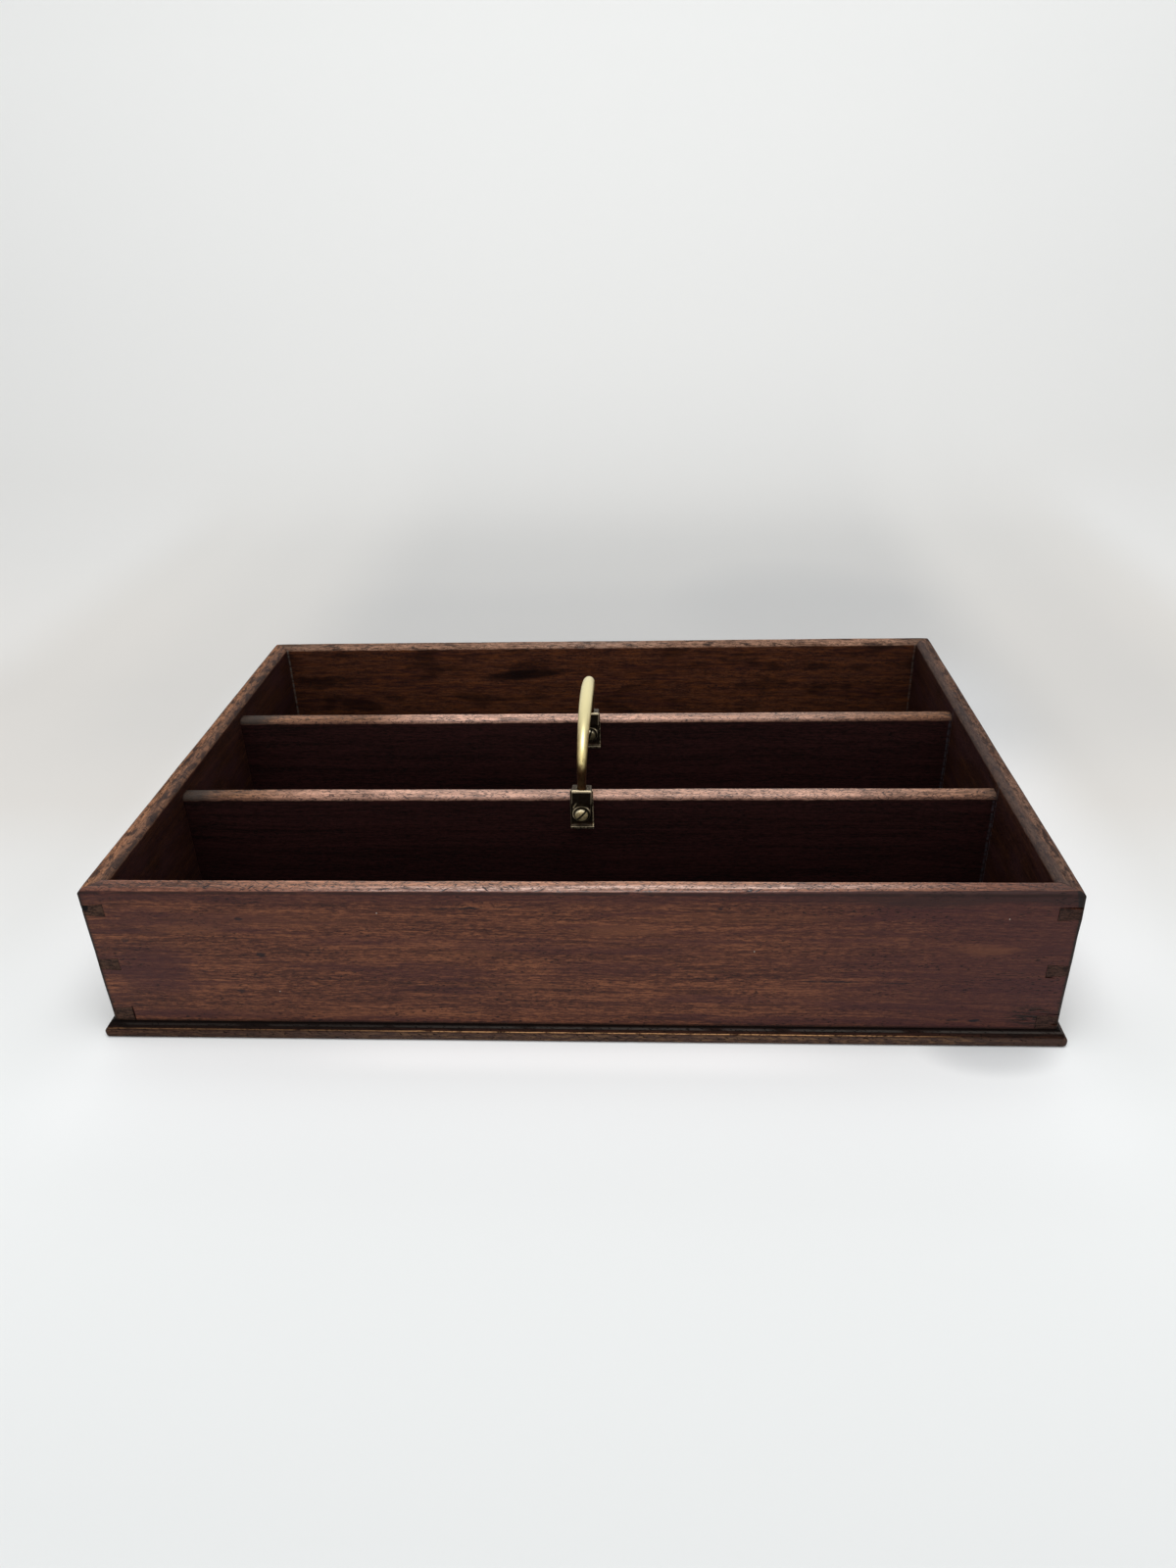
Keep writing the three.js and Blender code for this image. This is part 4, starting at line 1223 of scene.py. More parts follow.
def front_face(paint, colours, x, y, z, outward, dusky, ragged):
    """The front wall's own zones, bruises and chips on its outer face, and painted shade on its rounded
    corners.
    """
    paint.coat(x.between(50, 190) * outward * 0.7, colours.wall_plum)
    paint.coat(dusky * x.between(60, 140) * outward * 0.6, (0.026, 0.014, 0.012))
    ragged_x = x + (paint.noise(x / 9, z / 2, 4.0, 3) - 0.5) * 26
    ragged_z = z + (paint.noise(x / 22, z / 4, 7.0, 3) - 0.5) * 5
    for at_x, at_z, half_x, half_z, strength in FRONT_ZONES:
        hit = paint.spot(ragged_x, ragged_z, (at_x, at_z), (half_x, half_z))
        tint = shade(colours.wall_light, 0.8) if strength > 0 else colours.wall_plum
        paint.coat(hit * outward * (abs(strength) * 0.62), tint)
    ragged_x = x + (paint.noise(x / 2.2, z, 2.0, 3) - 0.5) * 5
    ragged_z = z + (paint.noise(x / 3, z / 1.5, 4.0, 3) - 0.5) * 1.4
    for at_x, at_z, half_x, half_z, strength in FRONT_BRUISES:
        hit = paint.spot(ragged_x, ragged_z, (at_x, at_z), (half_x, half_z), 0.1)
        paint.coat(hit * outward * strength, (0.010, 0.008, 0.011))
    chewed = paint.spot(ragged_x, ragged_z, (188, 13.2), (12, 6.5), 0.15)
    fray = paint.noise(x * 0.3, y, z * 1.6, 3).between(0.44, 0.54)
    paint.coat(chewed * fray * 0.92, (0.010, 0.007, 0.006))
    for at in FRONT_SPECKS:
        paint.coat(paint.spot(x, z, at, (0.3, 0.26), 0.4) * outward, (0.5, 0.43, 0.36))
    # Painted shade on the rounded upright corners at both ends of the wall
    bulge = z.between(RIM - 14, RIM - 1) * x.between(0, 1) * 2.2
    edge = (abs(x) + ragged * 1.2 + bulge).between(HALF_LENGTH - 1.8, HALF_LENGTH - 1.0)
    paint.coat(edge * outward * 0.9, (0.010, 0.008, 0.008))


def front_rim(paint, tone, grit, x, over, top):
    """The front rim's own wear, dull at its ends and nicked all over, and a painted highlight along its middle
    on wood rubbed pale.
    """
    streak = tone.between(0.3, 0.75)
    dull = 1 - x.within(-190, -70, 110, 190)
    paint.coat(dull * top * 0.85, paint.mix(streak, (0.040, 0.016, 0.012), (0.21, 0.085, 0.055)))
    paint.coat(x.between(40, 130) * top * 0.3, (0.120, 0.036, 0.024))
    grey = 1 - x.within(-199, -184, 165, 196)
    paint.coat(grey * top * 0.6, (0.045, 0.024, 0.020))
    inner = over.between(8.5, 10.5) * (0.4 + grit * 0.5)
    paint.coat(inner * top * 0.65, (0.45, 0.19, 0.085))
    lower = over.between(4.4, 3.0) * (0.55 + grit * 0.5)
    paint.coat(lower * top * 0.75, (0.16, 0.062, 0.042))
    # Painted highlight: a pale stripe along the middle of the rim's outer rounding, on wood partly rubbed pale
    ridge = over - x * 0.012
    painted_highlight = ridge.within(2.9, 3.8, 5.2, 6.6) * x.between(-130, -20) * x.between(170, 80)
    paint.coat(painted_highlight * top * (streak * 0.7 + 0.15), (0.74, 0.51, 0.43))
    for at, middle, reach, width, deep, slant in FRONT_RIM_MARKS:
        hit = paint.stroke(x, over, (at, middle), (reach * 1.5, width * 1.5), slant)
        paint.coat(hit * top * min(1.0, deep * 3.2), (0.010, 0.009, 0.014))


def wall_inside(paint, colours, wall, seed, x, y, z, along, inward):
    """A wall's inner face, darkened for darker wood and with painted shade: warm streaks, murk and a stain on
    the back wall, a red cast on the ends.
    """
    # The inner face is darkened for darker wood and as painted shade inside the box
    paint.coat(inward * (0.5 if wall == "back" else 0.74), shade(colours.wall_dark, 0.2))
    if wall != "back":
        red = paint.noise(along / 30, z / 12, seed + 1, 2).between(0.4, 0.7)
        paint.coat(red * inward * 0.45, (0.038, 0.015, 0.018))
        return
    warm = paint.noise(along / 14, z / 1.9, seed + 1, 4, 0.65).between(0.40, 0.72)
    paint.coat(warm * inward * 0.62, (0.145, 0.044, 0.013))
    # Murk: dark patches, with painted shade towards the back wall's two inner corners
    murk = paint.noise(along / 30, z / 14, seed + 6, 3).between(0.5, 0.62)
    murk = murk + x.between(-60, -190) * 0.5 + x.between(90, 190) * 0.5
    paint.coat(murk * inward * 0.55, (0.011, 0.004, 0.003))
    ruffle = (paint.noise(x / 9, y, z / 3, 3) - 0.5) * 14
    blotch = paint.spot(x + ruffle, z - (x + 44) * 0.07, (-44, 55.5), (30, 4.2), 0.2)
    paint.coat(blotch * inward * 0.85, (0.005, 0.0025, 0.0025))


def wall_rim(paint, wall, seed, x, along, across, grit, over, top):
    """The blots on a back or end wall's rubbed rim, and the back one's painted sheen and dull ends."""
    blots = paint.noise(along / 12, across / 3.2, seed + 12, 4, 0.62) + over.between(5, 9) * BLOT_LEANS[wall]
    paint.coat(blots.between(0.50, 0.61) * top * 0.85, (0.034, 0.022, 0.019))
    if wall == "back":
        # Painted highlight: a pale sheen painted on the middle of the back rim
        sheen = over.between(12, 8) * x.between(-70, 0) * x.between(60, 0) * grit.between(0.4, 0.6)
        paint.coat(sheen * top * 0.5, (0.34, 0.25, 0.21))
        paint.coat((1 - x.within(-198, -150, 170, 198)) * top * 0.7, (0.045, 0.030, 0.022))


def wall_joints(paint, colours, wall, long_board, x, y, z, along, ragged):
    """Dark end grain where a wall's ends show, grime at its corners and, in the left front one, a hole whose
    dark inside is painted shade.
    """
    half = HALF_LENGTH if long_board else HALF_DEPTH
    facing = abs(paint.split("Normal")[0 if long_board else 1])
    ends = facing.between(0.55, 0.85) * abs(along).between(half - 3, half - 1)
    speck = paint.noise(x / 2.4, y / 2.4, z / 0.8, 3, 0.75).between(0.38, 0.6)
    fresh = (0.066, 0.036, 0.024) if wall == "left" else (0.050, 0.026, 0.020)
    paint.coat(ends * 0.9, paint.mix(speck, (0.011, 0.007, 0.006), fresh))
    near_x = abs(x).between(HALF_LENGTH - 2.6, HALF_LENGTH - 0.4)
    near_y = abs(y).between(HALF_DEPTH - 2.6, HALF_DEPTH - 0.4)
    paint.coat(near_x * near_y * 0.72, shade(colours.grime, 0.6))
    if wall in ("front", "left"):
        # A hole painted in, its dark inside painted shade
        hole = paint.spot(x + ragged * 2, z + ragged * 2, (-198.6, 65.4), (2.3, 1.7), 0.4)
        paint.coat(hole * y.between(9 - HALF_DEPTH, 3 - HALF_DEPTH), (0.004, 0.003, 0.003))


def wall_wood(name, colours, wall):
    """Waxed mahogany of one wall: rubbed rims, dark end grain at the joints, and a dark inside."""
    long_board = wall in ("front", "back")
    seed = WALL_SEEDS[wall]
    paint = Paint(name)
    x, y, z = paint.place()
    along, across = (x, y) if long_board else (y, x)
    outer = HALF_DEPTH if long_board else HALF_LENGTH
    side = -1 if wall in ("front", "left") else 1
    tone, glow, grit, pores = figure(paint, along, across, z, (side * (outer + 150), -170.0), seed)
    inset = outer - abs(across)
    inward = inset.between(WALL - 1.6, WALL - 0.25)
    outward = 1 - inward
    ragged = paint.noise(along / 6, across / 1.5, z / 1.5, 3) - 0.5
    over = rim_run(inset, z)
    shoulder = x.between(30, 190) * 1.5 + 2.3 if wall == "front" else 2.7
    top = (over + ragged * 1.1 - shoulder).between(-0.4, 0.5) * (z + ragged).between(RIM - 2.3, RIM - 1.3)

    dark, light = (0.1, colours.wall_dark), (0.95, colours.wall_light)
    paint.colour = paint.ramp(tone, dark, (0.5, colours.wall_mid), light)
    paint.coat(glow * 0.25, colours.wall_light)
    plum = paint.noise(along / 70, across / 30, z / 5 + seed, 3).between(0.5, 0.66)
    paint.coat(plum * 0.6, colours.wall_plum)
    dusky = (z + (paint.noise(along / 40, seed, 2.0, 3) - 0.5) * 9).between(RIM - 7.5, RIM - 4)
    paint.coat(dusky * outward * 0.6, shade(colours.wall_plum, 0.85))
    if wall == "front":
        front_face(paint, colours, x, y, z, outward, dusky, ragged)
    wall_inside(paint, colours, wall, seed, x, y, z, along, inward)
    paint.coat(pores * 0.85, (0.013, 0.007, 0.007))

    worn = RUBBED_RIMS.get(wall, colours.worn)
    rubbed = rubbed_wood(paint, tone, grit, worn, shade(worn, 1.6))
    bare = paint.noise(along / 14, across / 3, seed + 8, 4)
    paint.coat(((bare - 0.5) * 1.8 + 0.9).at_most(0.97) * top, rubbed)
    if wall == "front":
        front_rim(paint, tone, grit, x, over, top)
    else:
        wall_rim(paint, wall, seed, x, along, across, grit, over, top)
    least = 0.60 if wall == "front" else 0.63
    marks = nicks(paint, along, across + z, seed, least, least + 0.07) * top
    paint.coat(marks * 0.85, (0.016, 0.012, 0.014))
    if wall in RIM_STAINS:
        stained = abs(across) + (paint.noise(along / 7, across / 3, seed, 4) - 0.5) * 7
        inner = HALF_LENGTH - RIM_STAIN_REACH
        stain = stained.between(inner + 0.6, inner - 1.8) * top
        paint.coat(stain * RIM_STAINS[wall], (0.052, 0.040, 0.038))
    wall_joints(paint, colours, wall, long_board, x, y, z, along, ragged)

    wander = (paint.noise(along / 12, seed, 0.0, 2) - 0.5) * 0.8
    ledge = abs(over - 1.35 + wander).between(0.9, 0.3) * z.between(RIM - 3.2, RIM - 2.2)
    broken = paint.noise(along / 16, seed + 4, 0.0, 3).between(0.3, 0.5)
    paint.coat(ledge * broken * outward * 0.7, (0.014, 0.007, 0.006))
    # Painted shade along the foot of the outer face, in the crease where the wall meets the base
    paint.coat(z.between(FLOOR + 1.4, FLOOR + 0.3) * outward * 0.75, (0.008, 0.005, 0.004))
    if wall == "right":
        seam = inward * glue_line(paint, (y,), z, DIVIDER_FACES.values(), seed)
        paint.coat(seam * 0.5, (0.07, 0.07, 0.08))
    if wall == "back":
        seam = inward * glue_line(paint, (x, -x), z, (HALF_LENGTH - WALL,), seed)
        paint.coat(seam * (x.between(10, -10) * 0.3 + 0.3), (0.13, 0.12, 0.105))
    height = grit * 0.9 + tone * 0.2 - pores * 1.2 - marks * 1.2
    roughness = 0.44 + pores * 0.15 + inward * 0.12 + (grit - 0.5) * 0.3
    if wall != "front":
        return paint.surface(roughness + top * 0.3, height, 0.12, Specular_IOR_Level=0.05)
    wax = top * (0.5 + bare) * x.between(-170, -60) * x.between(170, 90) * 0.7
    waxed = {"Specular_IOR_Level": 0.13, "Coat_Weight": wax, "Coat_Roughness": 0.2}
    return paint.surface(roughness - top * 0.08, height, 0.12, **waxed)


def divider_wood(name, colours, face, seed):
    """Dark dry mahogany with a rubbed top, grey at its ends."""
    paint = Paint(name)
    x, y, z = paint.place()
    tone, _, grit, pores = figure(paint, x, y, z, (face + 150, -160.0), seed)
    paint.colour = paint.ramp(tone, (0.1, colours.divider_dark), (0.9, colours.divider_light))
    paint.coat(pores * 0.7, shade(colours.divider_dark, 0.4))
    fray = paint.noise(x / 5, y / 2, z / 2, 3) - 0.5
    top = (z + fray * 1.1).between(DIVIDER_TOP - 2.9, DIVIDER_TOP - 2.0)
    rear = face > 0
    pale = shade(colours.worn_pale, 1.10 if rear else 0.92)
    rubbed = rubbed_wood(paint, tone, grit, pale, shade(pale, 1.45))
    brown = rubbed_wood(paint, tone, grit, shade(colours.worn_brown, 1.1), shade(colours.worn_brown, 1.8))
    if rear:
        browned = x.between(-75, -125) * 0.9 + x.between(100, 185) * 0.5 + x.between(5, 70) * 0.45
    else:
        browned = x.between(-115, -165) * 0.9 + x.between(100, 185) * 0.7
    bare = paint.noise(x / 12, y / 3, seed + 8, 4)
    paint.coat(((bare - 0.5) * 1.6 + 0.95).at_most(0.97) * top, paint.mix(browned, rubbed, brown))
    lip = z.between(DIVIDER_TOP - 0.7, DIVIDER_TOP - 1.6) * top
    paint.coat(lip * 0.4, (0.12, 0.055, 0.045))
    marks = nicks(paint, x, y + z, seed, 0.61, 0.68) * top
    paint.coat(marks * 0.9, (0.018, 0.014, 0.018))
    lean = 9 if rear else 6
    ends = abs(x - lean + fray * 12).between(176, 189)
    paint.coat(ends * top * 0.9, (0.034, 0.027, 0.023))
    glue = glue_line(paint, (x,), z, (HALF_LENGTH - WALL,), seed)
    seam = (1 - top) * glue * y.between(face + 0.6, face + 0.3)
    paint.coat(seam * 0.45, (0.06, 0.06, 0.07))
    height = grit * 0.9 + tone * 0.2 - pores * 1.2 - marks * 1.2
    roughness = 0.54 + pores * 0.15 - top * 0.14
    wax = top * (0.5 + bare) * x.between(-130, -60) * x.between(170, 90) * 0.6
    waxed = {"Specular_IOR_Level": 0.08, "Coat_Weight": wax, "Coat_Roughness": 0.2}
    return paint.surface(roughness, height, 0.12, **waxed)


def base_wood(name, colours):
    """The base board's dark wood, with the rubbed line on the moulding's step and scuffed noses."""
    paint = Paint(name)
    x, y, z = paint.place()
    tone, _, grit, pores = figure(paint, x, y, z, (150.0, -160.0), 31.0)
    black = shade(colours.base_dark, 0.4)
    run = x + y * 1.7
    ahead = (x.between(-110, -40) * 0.75 + 0.25) * x.between(190, 150)
    slope = z.between(4.3, 4.9)
    paint.colour = paint.ramp(tone, (0.15, colours.base_dark), (0.9, colours.base_light))
    paint.coat(slope * (0.92 - x.between(-60, 20) * 0.2), shade(colours.base_dark, 0.8))
    red = z.between(5.6, 4.6) * slope * paint.noise(run / 9, z, 9.0, 3).between(0.35, 0.55)
    paint.coat(red * ahead * 0.6, (0.050, 0.018, 0.012))
    nose = z.between(4.3, 3.4) * z.between(0.2, 1.2)
    scuffed = paint.noise(run / 6, z / 0.9, 2.0, 4, 0.65).between(0.45, 0.65)
    paint.coat(nose * (x.between(-190, -70) * 0.28 + 0.22), (0.076, 0.049, 0.041))
    paint.coat(nose * scuffed * (ahead * 0.8 + 0.2) * 0.75, (0.148, 0.082, 0.044))
    line = abs(z - 4.1 + (paint.noise(run / 14, 3.0, 0.0, 2) - 0.5) * 0.3).between(0.38, 0.12)
    kept = paint.noise(run / 10, 7.0, 0.0, 4, 0.7).between(0.36, 0.52)
    paint.coat(line * kept * ahead * x.between(175, 105), colours.gold_line)
    broken = paint.noise(run / 20, 11.0, 0.0, 3).between(0.35, 0.5)
    foot = abs(z - (FLOOR - 0.7)).between(0.4, 0.15) * broken
    paint.coat(foot * (x.between(-120, 0) * 0.35 + 0.2), (0.060, 0.052, 0.046))
    # Painted shade in the crease at the top of the moulding, where it meets the walls
    paint.coat(z.between(FLOOR - 0.5, FLOOR - 0.1) * 0.8, black)
    pits = paint.noise(run / 1.3, z / 0.6, 5.0, 2).between(0.58, 0.66)
    paint.coat(pits * 0.8, black)
    under = z.between(0.4, 0.05)
    dry = paint.noise(x / 60, y / 1.7 + paint.noise(x / 140, y / 60, 6.0, 2) * 4, 4.0, 4, 0.65)
    raw = paint.ramp(dry, (0.34, (0.050, 0.030, 0.019)), (0.66, (0.20, 0.135, 0.088)))
    dusty = paint.noise(x / 30, y / 30, 4.0, 5, 0.6)
    paint.coat(under * (0.45 + dusty * 0.7), raw)
    paint.coat(pores * 0.8, black)
    height = grit * 0.9 + tone * 0.2 - pores * 1.2 - pits
    roughness = 0.6 + pores * 0.15 + under * 0.1 + (grit - 0.5) * 0.3
    return paint.surface(roughness, height, 0.12, Specular_IOR_Level=0.04)


def polished_brass(name, colours):
    """Bright brass on the grip, browner along its sides with tarnish and painted shade, brown tarnish and pits
    towards the feet.
    """
    paint = Paint(name)
    x, y, z = paint.place()
    cloud = paint.noise(x / 3, y / 3, z / 5, 4, 0.6)
    low = (z + (cloud - 0.5) * 9).between(91.5, 83.5)
    warm = (z + (cloud - 0.5) * 12).between(103, 84)
    # Tarnish and painted shade in brown along the bail's two sides
    beside = abs(x - PIVOT.x - (z - PIVOT.z) * 0.035).between(0.9, 2.0)
    paint.colour = paint.mix(warm * 0.55, colours.polished, (0.90, 0.68, 0.22))
    paint.coat(beside * z.between(106, 94) * (cloud * 1.15 + 0.12), (0.24, 0.13, 0.035))
    paint.coat(low * (0.82 + cloud * 0.3), colours.tarnish)
    pits = paint.noise(x / 0.5, y / 0.5, z / 0.7, 1).between(0.66, 0.72) * z.between(99, 88)
    paint.coat(pits * 0.9, (0.03, 0.018, 0.008))
    brushed = paint.noise(x * 3, y * 3, z / 2.5, 3)
    roughness = 0.35 + (cloud - 0.5) * 0.14 + low * 0.16 + pits * 0.3
    height = brushed * 0.05 - pits * 1.0 + cloud * 0.1
    return paint.surface(roughness, height, 0.06, Metallic=0.78 + low * 0.2)


def old_brass(name, colours, seed, bright):
    """Dark cast brass with painted highlights of rubbed brass along its edges and where bright says."""
    paint = Paint(name)
    x, y, z = paint.place()
    cloud = paint.noise(x / 2.2, y / 2.2, z / 2.2 + seed, 4, 0.65)
    edges = paint.add("ShaderNodeNewGeometry", output="Pointiness").between(0.51, 0.56)
    stained = cloud.between(0.42, 0.62) * 0.6
    paint.colour = paint.mix(stained, colours.old_brass, shade(colours.tarnish, 0.5))
    # Painted highlight: the edges, and where bright says, are painted bright, partly as rubbed brass
    rub = edges * (0.4 + cloud * 0.8)
    rub = rub.at_least(bright(paint, x, y, z) * (0.6 + cloud)).at_most(0.96)
    paint.coat(rub, colours.rubbed_brass)
    pits = paint.noise(x / 0.4, y / 0.4, z / 0.4 + seed, 1).between(0.66, 0.73)
    paint.coat(pits * 0.7, (0.012, 0.009, 0.007))
    roughness = 0.40 + (cloud - 0.5) * 0.3 - rub * 0.14 + pits * 0.2
    return paint.surface(roughness, cloud * 0.8 - pits * 0.8, 0.06, Metallic=1 - rub * 0.55)


def knuckle_edges(handle, face):
    """Where a knuckle gets painted highlights on rubbed brass: the block's top front edge, its sides, the neck
    and the eye's rim.
    """
    front = face - handle.plate_thickness - handle.running_gap - handle.block_depth
    half, top, bottom = handle.block_width / 2, handle.block_top, handle.block_bottom

    def bright(paint, x, y, z):
        v = z - PIVOT.z
        u = x - PIVOT.x - v * math.tan(handle.lean)
        ahead = y.between(front + 1.0, front + 0.5)
        # Painted highlights along the block's top front edge and sides, the neck's slanting edge and the eye's
        # upper rim
        ridge = v.between(top - 1.15, top - 0.75) * ahead
        sides = abs(u).between(half - 0.5, half - 0.25) * ahead * v.between(bottom - 1, bottom) * 0.4
        slant = abs((u + 3.4) * 0.93 + (v - 4.4) * -0.36)
        neck = slant.between(0.55, 0.2) * v.between(2.4, 3.2) * v.between(7.4, 6.4)
        reach = (u * u + v * v) ** 0.5
        ring = reach.within(3.65, 3.85, 4.15, 4.35) * (u * -0.6 + v).between(-3.2, 1.5) * 0.75
        return ridge.at_least(sides).at_least(neck * 0.8).at_least(ring * v.between(5.0, 4.2))

    return bright


def plate_edges(handle):
    """Where a pivot plate gets painted highlights on rubbed brass: its lip and its right edge."""
    lip_top = handle.lip_height - handle.plate_below
    half = handle.plate_width / 2

    def bright(paint, x, y, z):
        u, v = x - PIVOT.x, z - PIVOT.z
        # Painted highlights: a lit line along the lip and glints down the right edge
        lip = v.between(lip_top + 0.1, lip_top - 0.3)
        sparkle = paint.noise(x, y, z / 0.7, 2).between(0.45, 0.6)
        right = u.between(half - 0.7, half - 0.3)
        return (lip * (sparkle * 0.4 + 0.08)).at_least(right * sparkle * 0.7)

    return bright


def screw_brass(name, turn, worn):
    """A screw's dome rubbed bright, with a painted highlight on its rim, a painted reflection low on its
    right, and painted shade in its slot and round its rim. worn scales its brightness, and darkens the rear
    screw as painted shade.
    """
    paint = Paint(name)
    x, y, z = paint.place()
    u, v = x - PIVOT.x, z - PIVOT.z
    cloud = paint.noise(x / 1.4, y / 1.4, z / 1.4, 3, 0.6)
    dulled = cloud.between(0.42, 0.6) * 0.6
    paint.colour = paint.mix(dulled, shade((0.86, 0.68, 0.36), worn), shade((0.34, 0.24, 0.11), worn))
    # Painted reflection: the dome's lower right darkened as if it mirrored the dark box
    paint.coat((u - v).between(3.4, 5.2) * 0.25, shade((0.30, 0.20, 0.09), worn))
    reach = u * u + v * v
    # Painted highlight on the upper left of a ring on the dome
    arc = reach.between(4.4, 5.8) * v.between(0.2, 1.6) * u.between(2.4, 1.0)
    paint.coat(arc * 0.7, (0.92, 0.82, 0.56))
    # Painted shade round the edge of the head
    paint.coat(reach.between(8.0, 9.6) * 0.9, (0.012, 0.009, 0.006))
    # Painted shade in the slot
    slot = abs(v * math.cos(turn) - u * math.sin(turn)).between(0.54, 0.44)
    paint.coat(slot * 0.97, (0.008, 0.006, 0.004))
    pits = paint.noise(x / 0.35, y / 0.35, z / 0.35, 1).between(0.66, 0.72)
    paint.coat(pits * 0.6, (0.04, 0.03, 0.02))
    roughness = 0.28 + cloud * 0.15 + pits * 0.2 + slot * 0.4
    return paint.surface(roughness, cloud * 0.6 - pits, 0.05, Metallic=0.7)


def sunk_iron(name, colours):
    """Darkened iron with rust."""
    paint = Paint(name)
    x, y, z = paint.place()
    cloud = paint.noise(x / 1.1, y / 1.1, z / 1.1, 4, 0.65)
    rust = cloud.between(0.48, 0.66)
    paint.colour = paint.mix(rust * 0.8, colours.iron, colours.rust)
    return paint.surface(0.5 + rust * 0.3, cloud, 0.08, Metallic=0.6)


# Stage


# The paper's painted light and shade along its run, from the front floor over the turn and up the backdrop:
# the place in millimetres, how light it is and how warm.
PAPER_TONES = (
    (-333, 0.735, 0.0),
    (-230, 0.805, 0.0),
    (-180, 0.83, 0.0),
    (-100, 0.80, 0.1),
    (0, 0.745, 0.5),
    (65, 0.68, 1.0),
    (237, 0.67, 1.0),
    (364, 0.70, 1.0),
    (603, 0.745, 0.7),
    (900, 0.82, 0.4),
    (1210, 0.875, 0.3),
    (1600, 0.97, 0.2),
)
PAPER_LEAD = 400
PAPER_RUN = 2100
# Colours of the painted light and the painted shadow on the paper
PAINTED_LIGHT = (0.97, 0.98, 0.985)
SHADOW_GREY = (0.42, 0.43, 0.44)


def paper_finish(colours):
    """Matt paper with the photograph's fall of light: grey behind the box, white beside and before it."""
    paint = Paint("paper")
    x, y, z = paint.place()
    run = y + z
    red, green, blue = colours.paper[:3]
    stops = []
    for at, tone, warm in PAPER_TONES:
        tint = (red * tone * (1 + 0.05 * warm), green * tone, blue * tone * (1 - 0.04 * warm))
        stops.append(((at + PAPER_LEAD) / PAPER_RUN, tint))
    # The ramp paints light and shade along the paper's run
    paint.colour = paint.ramp((run + PAPER_LEAD) / PAPER_RUN, *stops)
    # Painted light: the paper whitened at the far sides behind the box
    sides = x.between(-420, -520) * 0.25 + x.between(430, 520) * 0.35
    paint.coat(sides * run.between(150, 330) * run.between(900, 600), PAINTED_LIGHT)
    # Painted light beside the box
    right = x.between(300, 225) * x.between(195, 215)
    left = x.between(-290, -225) * x.between(-195, -215)
    beside = right * 0.75 + left * 0.5
    paint.coat(beside * run.between(-150, -60) * run.between(330, 200), PAINTED_LIGHT)
    # Painted shadow behind the box
    near = x.within(-300, -170, 240, 330) * 0.38 + x.within(-420, -300, 370, 450) * 0.15
    rising = run.between(820, 460) * 0.5 + run.between(1200, 560) * 0.3 + run.between(500, 400) * 0.2
    paint.coat(near * rising * run.between(60, 180), SHADOW_GREY)
    paint.coat(paint.spot(x, run, (155, 400), (130, 150)) * 0.2, SHADOW_GREY)
    # Painted light ahead of the box and over its contact shadow
    ahead = abs(x).between(240, 190) * run.between(-225, -165) * run.between(-120, -145)
    paint.coat(ahead * 0.35, PAINTED_LIGHT)
    close = (abs(x).between(130, 60) * 0.6 + 0.1) * abs(x).between(215, 195) * run.between(-162, -150)
    paint.coat(close * run.between(-110, -125), (1, 1, 1))
    # Painted shadow at the box's right foot
    paint.coat(paint.spot(x, run, (172, -143), (32, 16)) * 0.42, SHADOW_GREY)
    grain = paint.noise(x / 3, y / 3, z / 3, 3)
    return paint.surface(0.85, grain, 0.02, Specular_IOR_Level=0.1)


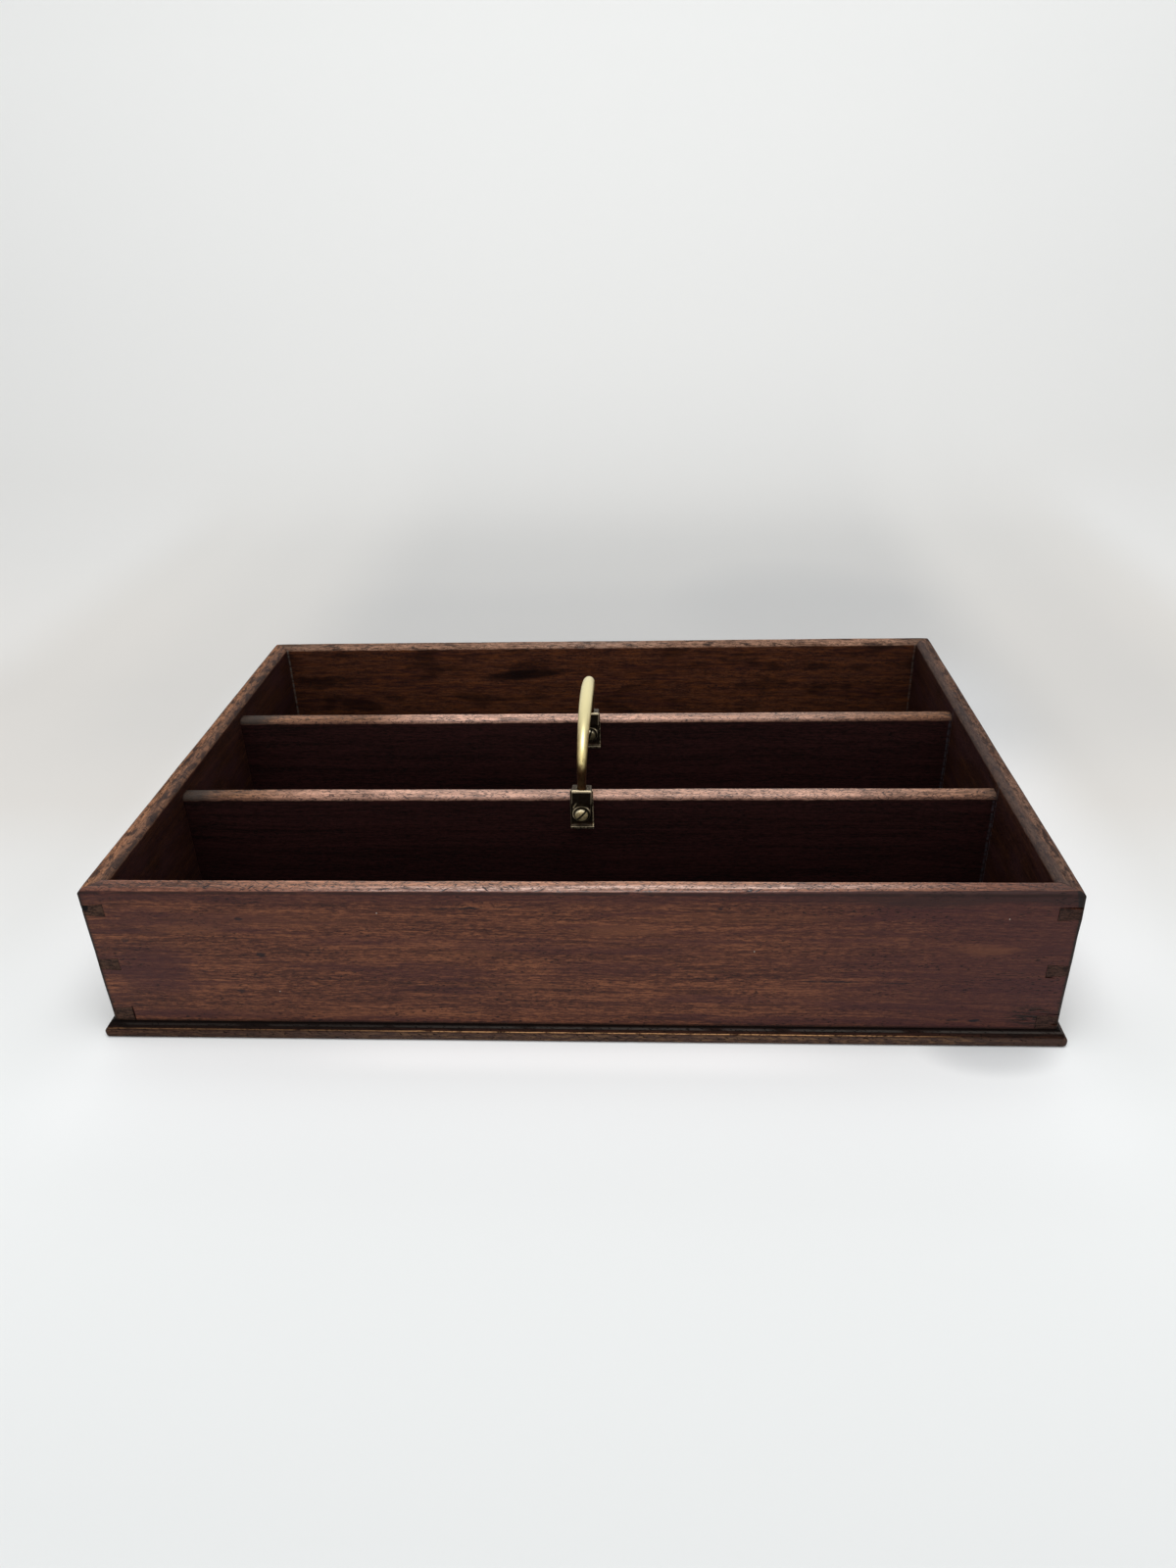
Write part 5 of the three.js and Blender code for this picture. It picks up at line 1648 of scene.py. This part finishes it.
class CUTLERY_BOX_OT_stage(bpy.types.Operator):
    """Make the pale sweep, the studio light and the camera"""

    bl_idname = "cutlery_box.stage"
    bl_label = "Stage"

    def execute(self, context):
        scene = context.scene
        self.sweep(scene.cutlery_box_finish)
        self.light(scene)
        self.camera(scene)
        scene.view_settings.view_transform = "Standard"
        return {"FINISHED"}

    @staticmethod
    def sweep(colours):
        """A floor that turns up into a backdrop, open under the box so that light reaches its underside."""
        hole_x = (BASE_HIGH.x - SWEEP_UNDER_BOX) * MM
        hole_y = (BASE_HIGH.y - SWEEP_UNDER_BOX) * MM
        side = [(SWEEP_FRONT, 0.0), (-1.0, 0.0), (-hole_y, 0.0), (hole_y, 0.0), (SWEEP_TURN, 0.0)]
        for i in range(1, 17):
            a = math.pi / 2 * i / 16
            side.append((SWEEP_TURN + SWEEP_RADIUS * math.sin(a), SWEEP_RADIUS * (1 - math.cos(a))))
        side.append((SWEEP_TURN + SWEEP_RADIUS, SWEEP_HEIGHT))
        columns = (-SWEEP_HALF_WIDTH, -hole_x, hole_x, SWEEP_HALF_WIDTH)
        points = [(x, y, z) for y, z in side for x in columns]
        under_box = (2, 1)
        faces = [
            (4 * i + j, 4 * i + j + 1, 4 * i + j + 5, 4 * i + j + 4)
            for i in range(len(side) - 1)
            for j in range(3)
            if (i, j) != under_box
        ]
        floor = new_piece("paper_sweep", points, faces)
        for face in floor.data.polygons:
            face.use_smooth = True
        floor.data.materials.append(paper_finish(colours))

    @staticmethod
    def light(scene):
        """A pale sky, a large lamp overhead and a weaker one in front."""
        world = bpy.data.worlds.new("studio")
        scene.world = world
        world.use_nodes = True
        background = world.node_tree.nodes["Background"]
        background.inputs["Color"].default_value = SKY_COLOUR
        background.inputs["Strength"].default_value = SKY_STRENGTH
        for name, place, (width, depth), watts, aim in LAMPS:
            lamp = bpy.data.lights.new(name, "AREA")
            lamp.shape = "RECTANGLE"
            lamp.size = width
            lamp.size_y = depth
            lamp.energy = watts
            holder = bpy.data.objects.new(name, lamp)
            scene.collection.objects.link(holder)
            holder.location = place
            holder.rotation_euler = (Vector(aim) - Vector(place)).to_track_quat("-Z", "Y").to_euler()

    @staticmethod
    def camera(scene):
        """The photograph's place and angle, for a 1200 by 1600 picture."""
        yaw, pitch, roll = (math.radians(angle) for angle in CAMERA_ANGLES)
        forward = Vector((math.sin(yaw) * math.cos(pitch), math.cos(yaw) * math.cos(pitch), math.sin(pitch)))
        level = Vector((math.cos(yaw), -math.sin(yaw), 0))
        rise = level.cross(forward)
        right = level * math.cos(roll) + rise * math.sin(roll)
        up = rise * math.cos(roll) - level * math.sin(roll)
        data = bpy.data.cameras.new("camera")
        data.lens = CAMERA_LENS
        data.sensor_width = CAMERA_SENSOR
        data.sensor_fit = "AUTO"
        data.clip_start = 0.01
        data.clip_end = 50
        camera = bpy.data.objects.new("camera", data)
        scene.collection.objects.link(camera)
        turn = Matrix((right, up, -forward)).transposed().to_4x4()
        camera.matrix_world = Matrix.Translation(CAMERA_PLACE) @ turn
        scene.camera = camera


# Panel, registration and the run of the whole script


class CUTLERY_BOX_PT_panel(bpy.types.Panel):
    """The box's sizes and colours, and a button for each group of pieces"""

    bl_idname = "CUTLERY_BOX_PT_panel"
    bl_label = "Cutlery Box"
    bl_space_type = "VIEW_3D"
    bl_region_type = "UI"
    bl_category = "Cutlery Box"

    def draw(self, context):
        layout = self.layout
        for operator in OPERATORS:
            layout.operator(operator.bl_idname)
        for name in GROUPS:
            group = getattr(context.scene, name)
            box = layout.box()
            box.label(text=name.removeprefix("cutlery_box_").capitalize())
            for key in group.__annotations__:
                box.prop(group, key)


GROUPS = {
    "cutlery_box_case": CutleryBoxCase,
    "cutlery_box_handle": CutleryBoxHandle,
    "cutlery_box_finish": CutleryBoxFinish,
}
OPERATORS = (
    CUTLERY_BOX_OT_walls,
    CUTLERY_BOX_OT_dividers,
    CUTLERY_BOX_OT_base_board,
    CUTLERY_BOX_OT_base_screws,
    CUTLERY_BOX_OT_pivot_plates,
    CUTLERY_BOX_OT_knuckles,
    CUTLERY_BOX_OT_pivot_screws,
    CUTLERY_BOX_OT_bail,
    CUTLERY_BOX_OT_stage,
)
CLASSES = (*GROUPS.values(), *OPERATORS, CUTLERY_BOX_PT_panel)


def register():
    """Makes the classes known to Blender and gives each scene the three groups of values."""
    for each in CLASSES:
        bpy.utils.register_class(each)
    for name, group in GROUPS.items():
        setattr(bpy.types.Scene, name, bpy.props.PointerProperty(type=group))


def unregister():
    """Takes back what register did."""
    for name in reversed(GROUPS):
        delattr(bpy.types.Scene, name)
    for each in reversed(CLASSES):
        bpy.utils.unregister_class(each)


def main():
    """Makes every piece and the stage through the operators."""
    register()
    for operator in OPERATORS:
        step = operator.bl_idname.split(".")[1]
        getattr(bpy.ops.cutlery_box, step)()


if __name__ == "__main__":
    main()
